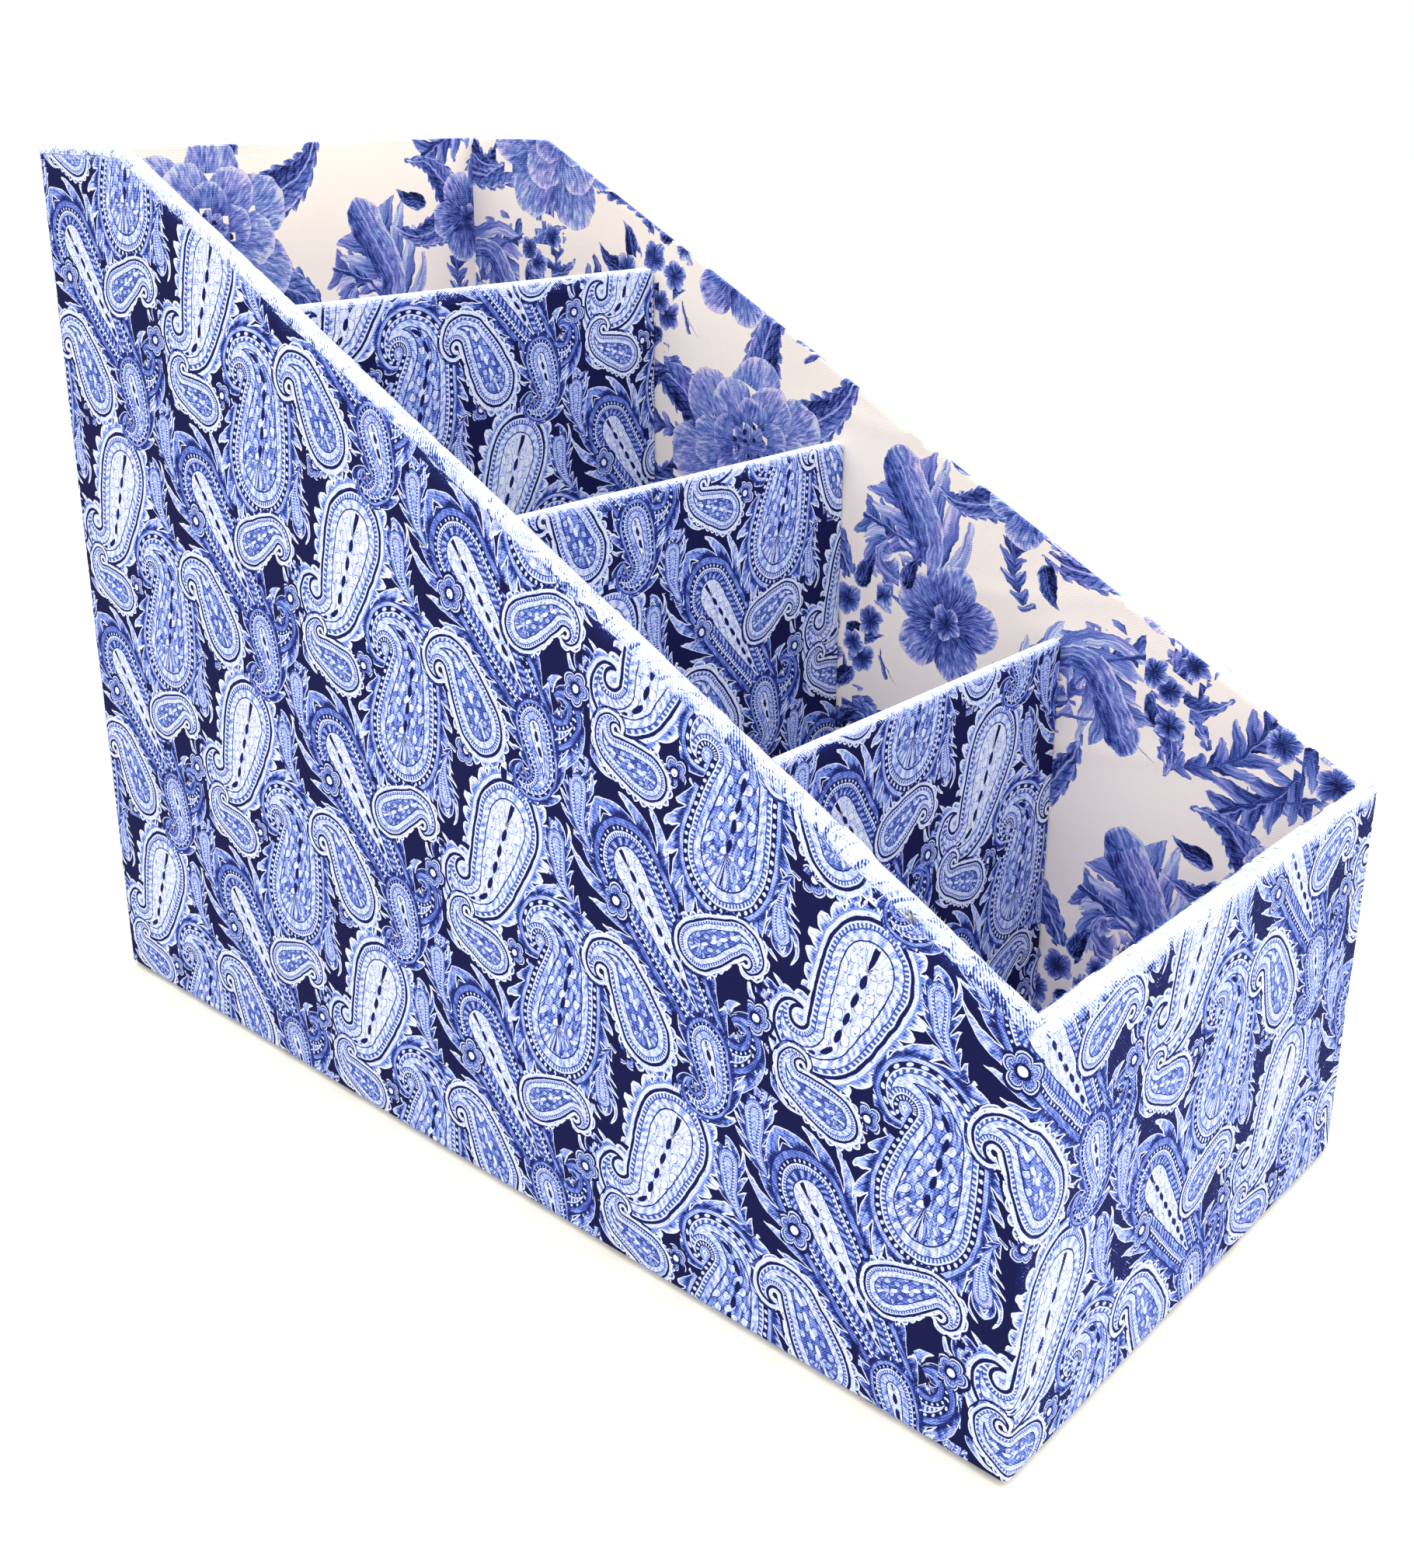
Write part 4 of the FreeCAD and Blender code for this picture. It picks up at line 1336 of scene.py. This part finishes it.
def bind_rim(name, wall, start, end, lap=0.0):
    """A strip over the rim of one side, from depth start to depth end. Its last lap millimetres lie on
    another strip, so there each point is moved out by a cloth's thickness, square to the section."""
    side, second = SIDES[wall], lap > 0
    section = binding_section()
    y = fine_ends(start, end, BINDING_END, BINDING_END_STEPS, round((end - start) / BINDING_CELL))
    lean = rim_lean(y)
    stretch = np.hypot(1, lean)
    along = np.concatenate([[0], np.cumsum(np.diff(y) * stretch[1:])]) + start
    walked = walk_along(section)[:, None]
    step = np.gradient(section, axis=0)
    step /= np.linalg.norm(step, axis=1, keepdims=True)
    seed = side + 3 * second
    lift = LIFT * ripple(along, walked * 2, 7.0, seed) * (walked > 1)
    if second:
        lift = lift + CLOTH * np.clip((y - end + lap) / LAP_RAMP, 0, 1)
    end_dip = END_DIP * np.clip((abs(y) - (HALF_DEPTH - END_DIP_FROM)) / END_DIP_LENGTH, 0, 1) ** 2
    inset = section[:, :1] - lift * step[:, 1:]
    up = section[:, 1:] + lift * step[:, :1] - end_dip
    up[0] += FRAY * ripple(along, 0, 13.0, seed) + FINE_FRAY * ripple(along, 0, 3.1, seed)
    points = grid_of(side * (HALF_WIDTH - inset), np.clip(y - up * lean / stretch, -LAST, LAST),
                     rim_height(y) + up / stretch)
    fabric = grid_of(along * side + 17 + 40 * second, walked + 31 * side)
    # Painted glare and wear: the strip is painted paler towards the back and on the right side, where the
    # light is brightest, and paler over the rim than at its raw edge.
    toward_front = (HALF_DEPTH - y) / (2 * HALF_DEPTH)
    wear_and_glare = BINDING_WEAR_AND_GLARE - FRONT_GLARE_LOSS * toward_front + WEAR_AND_GLARE_WAVE * ripple(along, 0, 31.0, side)
    wear_and_glare = wear_and_glare + RIGHT_GLARE_GAIN * (side > 0)
    wear_and_glare = wear_and_glare * (RAW_SHARE + WALKED_GAIN * np.clip(walked / WALKED_LENGTH, 0, 1))
    points, fabric, wear_and_glare = points[:, ::side], fabric[:, ::side], wear_and_glare[:, ::side]
    rim_grids[name] = points
    cloth_piece(name, points, fabric, wall + "_rim_strip", PAISLEY, PRINTED,
                thickness=BINDING_CLOTH, pale=wear_and_glare)


bind_rim("right_rim_binding", "right", -LAST, LAST)
bind_rim("left_rim_binding_rear", "left", JOIN - JOIN_LAP, LAST)
bind_rim("left_rim_binding_front", "left", -LAST, JOIN, JOIN_LAP)

# %% [markdown]
# The linings. Each inner wall is a thin card wrapped in the flowered cotton, a little lower than the rim.
# A plane would do, but it would look like paper: on the real box the cloth isn't rubbed down flat all
# over. So each lining swells a little and has a few low wrinkles, bell curves of the distance from
# wandering lines. The back wall's cloth is cut from another place of the print than the others.

# %% Lining of one wall
LINING_DROP = 0.9
LINING_ROUND = 0.5
LINING_ROWS = 100
LINING_SWELL, SWELL_LENGTH = 0.1, 41.0
WRINKLE_LEVELS = (38.0, 71.0, 96.0, 133.0, 171.0)
WRINKLE_HEIGHT, WRINKLE_WIDTH = 0.22, 2.4


def wrinkles(along, height):
    """Low ridges that run nearly level where the lining wasn't rubbed down flat: bell curves of the
    distance from wandering lines, each strongest at a place of its own."""
    total = 0
    for number, level in enumerate(WRINKLE_LEVELS):
        line = level + 4.0 * np.sin(along / 31.0 + number) + 1.5 * np.sin(along / 11.0 + 2.1 * number)
        here = 0.5 + 0.5 * np.sin(along / 27.0 + 1.9 * number)
        total = total + WRINKLE_HEIGHT * here * np.exp(-((height - line) / WRINKLE_WIDTH) ** 2)
    return total


def line_wall(wall, along, top, place_of, offset=(0, 0), order=1):
    """Line one wall: a flat face up to a small arc at the top, and back to the turned-in cloth. place_of
    turns a place along the wall and a distance in from the outside into x and y. order is -1 where the
    columns have to run the other way round for the sheet to face inwards."""
    rows = []
    for share in np.linspace(0, 1, LINING_ROWS):
        height = BASE_TOP + share * (top - LINING_ROUND - BASE_TOP)
        rows.append((LINING_INNER, height, height))
    for angle in quarter[1:]:
        rows.append((LINING_INNER - LINING_ROUND * (1 - math.cos(angle)),
                     top - LINING_ROUND * (1 - math.sin(angle)), top - LINING_ROUND + LINING_ROUND * angle))
    rows.append((TURN_IN_INNER, top, top + LINING_INNER - TURN_IN_INNER))
    points, fabric = [], []
    for distance, height, walked in rows:
        swell = 0
        if distance == LINING_INNER:
            swell = LINING_SWELL * ripple(along + offset[0], height + offset[1], SWELL_LENGTH)
            swell = swell + wrinkles(along, height)
        points.append(grid_of(*place_of(along, distance + swell), height))
        fabric.append(grid_of(along + offset[0], walked + offset[1]))
    points, fabric = np.array(points)[:, ::order], np.array(fabric)[:, ::order]
    cloth_piece(wall + "_lining", points, fabric, wall + "_lining_cloth", FLORAL, LINED,
                kept=hidden_rows(0, LINING_ROWS, ARC_ROWS + 1))


# %% Linings
CUT_FROM = {"front": (0, 0), "back": (70, 30)}
SIDE_COLUMNS, END_COLUMNS = 165, 76
for wall, side in SIDES.items():
    y = side * spaced((HALF_DEPTH - BOARD_INNER, -HALF_DEPTH + BOARD_INNER, SIDE_COLUMNS))
    line_wall(wall, -side * y, rim_height(y) - LINING_DROP * np.hypot(1, rim_lean(y)),
              lambda along, inset: (side * (HALF_WIDTH - inset), -side * along))
for wall, end in ENDS.items():
    x = spaced((-HALF_WIDTH + LINING_INNER, HALF_WIDTH - LINING_INNER, END_COLUMNS))
    top = (FRONT_HEIGHT if end < 0 else BACK_HEIGHT) - LINING_DROP + 0 * x
    line_wall(wall, x, top, lambda along, inset: (along, end * (HALF_DEPTH - inset)), CUT_FROM[wall], end)

# %% [markdown]
# The dividers are boards with paisley cotton folded over the top. One could bevel a box, but the fold is
# round and its ends are pinched where the cloth turns the corner. Here the section is two upright lines
# and a half circle, and its thickness and height both shrink towards the ends, like quarter circles.

# %% Dividers
DIVIDER_ROUND = 3.0
DIVIDER_ROWS, FOLD_ROWS = 70, 12
END_RUN, END_RUN_COLUMNS, MIDDLE_COLUMNS = 4, 14, 72
LEAST_ROOM = 0.02
FALL, CREST_WAVE = 0.98, 0.05
DIVIDER_WEAR_AND_GLARE, DIVIDER_GLARE_DEPTH = 0.68, 3.6
DIVIDER_SWELL, DIVIDER_SWELL_LENGTH = 0.1, 24.0
DIVIDER_CUT = (37.0, 29.0)
for number, name in enumerate(("rear", "middle", "front")):
    low, high = box_mm(name + "_divider_wrap")
    half, centre, top = (high[1] - low[1]) / 2, (high[1] + low[1]) / 2, high[2]
    end = high[0]
    x = fine_ends(-end, end, END_RUN, END_RUN_COLUMNS, MIDDLE_COLUMNS)
    room = end - abs(x)
    thick = half * np.sqrt(np.clip(1 - (1 - np.clip(room / half, LEAST_ROOM, 1)) ** 2, 0, 1))
    into_corner = np.clip(DIVIDER_ROUND - room, 0, None)
    fall = DIVIDER_ROUND - np.sqrt(np.clip(DIVIDER_ROUND ** 2 - into_corner ** 2, 0, None))
    crest = top - FALL * fall - CREST_WAVE * (1 + ripple(x, 0, 23.0, number))
    rows = []
    upright = [BASE_TOP + share * (crest - thick - BASE_TOP) for share in np.linspace(0, 1, DIVIDER_ROWS)]
    for height in upright:
        rows.append((centre - thick, height, height))
    for angle in spaced((0, math.pi, FOLD_ROWS))[1:-1]:
        rows.append((centre - thick * math.cos(angle), crest - thick + thick * math.sin(angle),
                     crest - thick + half * angle))
    for height in upright[::-1]:
        rows.append((centre + thick, height, 2 * (crest - thick) + half * math.pi - height))
    points = np.array([grid_of(x, y, height) for y, height, walked in rows])
    cut_x, cut_y = DIVIDER_CUT[0] * number + 11, DIVIDER_CUT[1] * number
    fabric = np.array([grid_of(x + cut_x, walked + cut_y) for y, height, walked in rows])
    swell = DIVIDER_SWELL * ripple(fabric[..., 0], fabric[..., 1], DIVIDER_SWELL_LENGTH, number)
    outward = np.where(np.arange(len(rows)) < len(rows) / 2, -1, 1)[:, None]
    points[..., 1] += swell * outward * (thick > half * 0.99)
    # Painted glare and wear: the crest of the fold is painted paler, most at its top.
    wear_and_glare = DIVIDER_WEAR_AND_GLARE * np.clip(1 - (crest - points[..., 2]) / DIVIDER_GLARE_DEPTH, 0, 1) ** 1.3
    rim_grids[name + "_divider_cloth"] = points
    cloth_piece(name + "_divider_cloth", points, fabric, name + "_divider_wrap", PAISLEY, PRINTED,
                pale=wear_and_glare,
                thickness=np.minimum(CLOTH, thick * 0.7)[None, :, None])

# %% [markdown]
# Floors and underside. Each compartment's floor is a card with the lining's cotton, and the underside is
# closed by one card in plain navy cotton. Both are level grids. The floors rise and fall by a twentieth
# of a millimetre, and the underside's edges curl up round its card.

# %% Floors
FLOOR_COLUMNS, FLOOR_ROWS = 60, 34
FLOOR_WAVE, FLOOR_WAVE_LENGTH = 0.05, 19.0
FLOOR_CUT = 11.0
for number in range(1, 5):
    low, high = box_mm("floor_cloth_%d" % number)
    x, y = spaced((low[0], high[0], FLOOR_COLUMNS)), spaced((low[1], high[1], FLOOR_ROWS))[:, None]
    points = grid_of(x, y, high[2] + FLOOR_WAVE * ripple(x, y, FLOOR_WAVE_LENGTH))
    cloth_piece("floor_lining_%d" % number, points, points[..., :2] + FLOOR_CUT * number,
                "floor_cloth_%d" % number, FLORAL, LINED)

# %% Underside
EDGE_ROUND, EDGE_STEPS = 1.0, 3
low, high = box_mm("base_cover_cloth")
x = fine_ends(low[0], high[0], EDGE_ROUND, EDGE_STEPS, 40)
y = fine_ends(low[1], high[1], EDGE_ROUND, EDGE_STEPS, 80)[:, None]
edge = np.minimum(np.minimum(x - low[0], high[0] - x), np.minimum(y - low[1], high[1] - y))
rise = high[2] * (1 - np.sqrt(np.clip(1 - (1 - np.clip(edge / EDGE_ROUND, 0, 1)) ** 2, 0, 1)))
points = grid_of(x, y, rise)[:, ::-1]
cloth_piece("underside_cloth", points, points[..., :2].copy(), "base_cover_cloth", None, PLAIN_BASE)

# %% [markdown]
# Loose fibres. Cut cotton frays, and bright light catches the fibres that stand out from the rims. A hair
# system could grow them, but it isn't a mesh and doesn't export. So each fibre is a thin three-sided
# tube, bent like a parabola, and a few hundred of them are one piece. Along the bottom edge they are
# dark, as they are where the strip ends at the front left corner, and a small tuft of brown thread is
# caught in the left rim's seam.

# %% Fibres
RINGS = np.array([0.0, 0.35, 0.7, 1.0])
TRIANGLE = np.arange(3) * TURN / 3
ROOT_DEPTH = 0.1
SHORTEST = 0.25
BEND_ASIDE = 0.6
FIBRE_TAPER = 0.7


def rooted(points, rows, count, chance):
    """Places spread at random over some rows of a grid, and the direction that the sheet faces there."""
    row = chance.choice(list(rows), count)
    column = chance.integers(0, points.shape[1] - 1, count)
    share = chance.random((count, 1))
    place = points[row, column] * (1 - share) + points[row, column + 1] * share
    return place, normals_of(points)[row, column]


def unit_long(vectors):
    """The vectors, each made one unit long."""
    return vectors / np.linalg.norm(vectors, axis=1, keepdims=True)


def make_fibres(name, roots, outward, longest, flatness, thickness, finish, chance):
    """Fibres from roots: each leaves along a mix of outward and a random direction, and bends sideways
    by the square of the share of its length that is walked."""
    count = len(roots)
    way = unit_long(outward + flatness * chance.normal(size=(count, 3)))
    aside = unit_long(np.cross(way, chance.normal(size=(count, 3))))
    third = np.cross(way, aside)
    length = longest * (SHORTEST + (1 - SHORTEST) * chance.random((count, 1, 1)) ** 2)
    share = RINGS[None, :, None]
    curve = share * way[:, None] + BEND_ASIDE * share ** 2 * aside[:, None]
    line = roots[:, None] - ROOT_DEPTH * outward[:, None] + length * curve
    spokes = np.cos(TRIANGLE)[:, None] * aside[:, None] + np.sin(TRIANGLE)[:, None] * third[:, None]
    ring = thickness / 2 * (1 - FIBRE_TAPER * share)
    points = line[:, :, None] + ring[..., None] * spokes[:, None]
    number = np.arange(points[..., 0].size).reshape(points.shape[:3])
    ahead = np.roll(number, -1, 2)
    faces = quads(number[:, :-1], ahead[:, :-1], ahead[:, 1:], number[:, 1:])
    faces += number[:, 0, ::-1].tolist() + number[:, -1].tolist()
    mesh = bpy.data.meshes.new(name)
    mesh.from_pydata((points.reshape(-1, 3) * MM).tolist(), [], faces)
    mesh.materials.append(finish)
    piece = bpy.data.objects.new(name, mesh)
    bpy.context.scene.collection.objects.link(piece)
    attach(piece, "root")
    print(name, "fibres", count, "triangles", sum(len(face) - 2 for face in faces))


# %% Fibres along the rims
chance = np.random.default_rng(7)
white_fibre = speckled("white_fibre", linear(240, 243, 252), linear(150, 170, 230), 260.0)
dark_fibre = speckled("dark_fibre", linear(40, 46, 84), linear(96, 112, 176), 260.0)
brown_fibre = speckled("brown_fibre", linear(92, 78, 58), linear(150, 132, 100), 260.0)
OVER_BINDING = range(2 * BINDING_ARC_ROWS + 2)
OVER_END = range(ARC_ROWS + 3)
OVER_DIVIDER = range(DIVIDER_ROWS, DIVIDER_ROWS + FOLD_ROWS - 2)
GROWTH = {
    "left_rim_binding_rear": (OVER_BINDING, 420), "left_rim_binding_front": (OVER_BINDING, 130),
    "right_rim_binding": (OVER_BINDING, 420), "front_rim_cloth": (OVER_END, 200),
    "back_rim_cloth": (OVER_END, 160), "rear_divider_cloth": (OVER_DIVIDER, 110),
    "middle_divider_cloth": (OVER_DIVIDER, 110), "front_divider_cloth": (OVER_DIVIDER, 110),
}
grown = [rooted(rim_grids[name], rows, count, chance) for name, (rows, count) in GROWTH.items()]
roots, outward = [np.concatenate(part) for part in zip(*grown)]
make_fibres("rim_fibres", roots, outward, 1.5, 0.9, 0.07, white_fibre, chance)

# %% Dark fibres and the brown tuft
HEM_FIBRES, TUFT_FIBRES, CORNER_FIBRES = 500, 45, 50
TUFT_FROM, TUFT_TO = -131.0, -126.5
CORNER_THREADS_TO = -153.6
TUFT_ROWS, CORNER_ROWS = range(1, 4), range(1, 12)
roots, outward = rooted(wrap_points, bottom_arc, HEM_FIBRES, chance)
make_fibres("hem_fibres", roots, outward, 0.9, 0.6, 0.07, dark_fibre, chance)
strip_points = rim_grids["left_rim_binding_front"]
strip_y = strip_points[1, :, 1]
in_tuft = (strip_y > TUFT_FROM) & (strip_y < TUFT_TO)
roots, outward = rooted(strip_points[:, in_tuft], TUFT_ROWS, TUFT_FIBRES, chance)
make_fibres("thread_tuft", roots, outward, 2.0, 0.8, 0.14, brown_fibre, chance)
at_corner = strip_y < CORNER_THREADS_TO
roots, outward = rooted(strip_points[:, at_corner], CORNER_ROWS, CORNER_FIBRES, chance)
make_fibres("corner_threads", roots, outward, 1.3, 0.9, 0.1, dark_fibre, chance)

# %% [markdown]
# Light and floor. The photograph was taken on white under very bright, soft light from above: floor and
# background are pure white, the rims nearly so, and the shadows are faint. An area lamp overhead would
# do, but its light falls off over the floor. A sky lights everything evenly. It is brightest overhead, and
# brighter in front and on the left than behind and on the right, as in the studio, and the camera sees
# plain white in its place.

# %% Light
SKY_TOP, SKY_SIDE = 3.1, 0.3
SKY_FALL = 1.3
FRONT_GAIN, LEFT_GAIN = 0.55, 0.3
scene = bpy.context.scene
scene.view_settings.view_transform = "Standard"
scene.world = bpy.data.worlds.new("studio")
sky = Recipe(scene.world)
east, north, height = sky.parts(sky.node("ShaderNodeTexCoord", (), (), "Generated"))
glow = SKY_SIDE + (SKY_TOP - SKY_SIDE) * calc("POWER", clamp(height), SKY_FALL)
glow = glow * (1 - FRONT_GAIN * north - LEFT_GAIN * east)
seen = sky.node("ShaderNodeLightPath", (), (), "Is Camera Ray")
strength = pick(seen, 1.0, glow)
sky.finish(sky.node("ShaderNodeBackground", (), {"Color": (1, 1, 1, 1), "Strength": strength}), "World")
print("the sky gives", SKY_TOP, "overhead,", SKY_SIDE, "at the side, times", 1 + FRONT_GAIN, "in front")

# %% Floor
FLOOR_HALF = 6.0
floor_mesh = bpy.data.meshes.new("floor")
corners = [(x * FLOOR_HALF, y * FLOOR_HALF, 0) for x, y in ((-1, -1), (1, -1), (1, 1), (-1, 1))]
floor_mesh.from_pydata(corners, [], [(0, 1, 2, 3)])
floor = bpy.data.objects.new("floor", floor_mesh)
scene.collection.objects.link(floor)
white_paper = Recipe(bpy.data.materials.new("white_paper"))
floor_mesh.materials.append(white_paper.finish(white_paper.node("ShaderNodeBsdfPrincipled", (), {
    "Base Color": (0.72, 0.69, 0.61, 1), "Roughness": 0.9, "Specular IOR Level": 0.1,
    "Emission Color": (1.0, 0.97, 0.9, 1), "Emission Strength": 0.12})))
print("floor", 2 * FLOOR_HALF, "m wide")
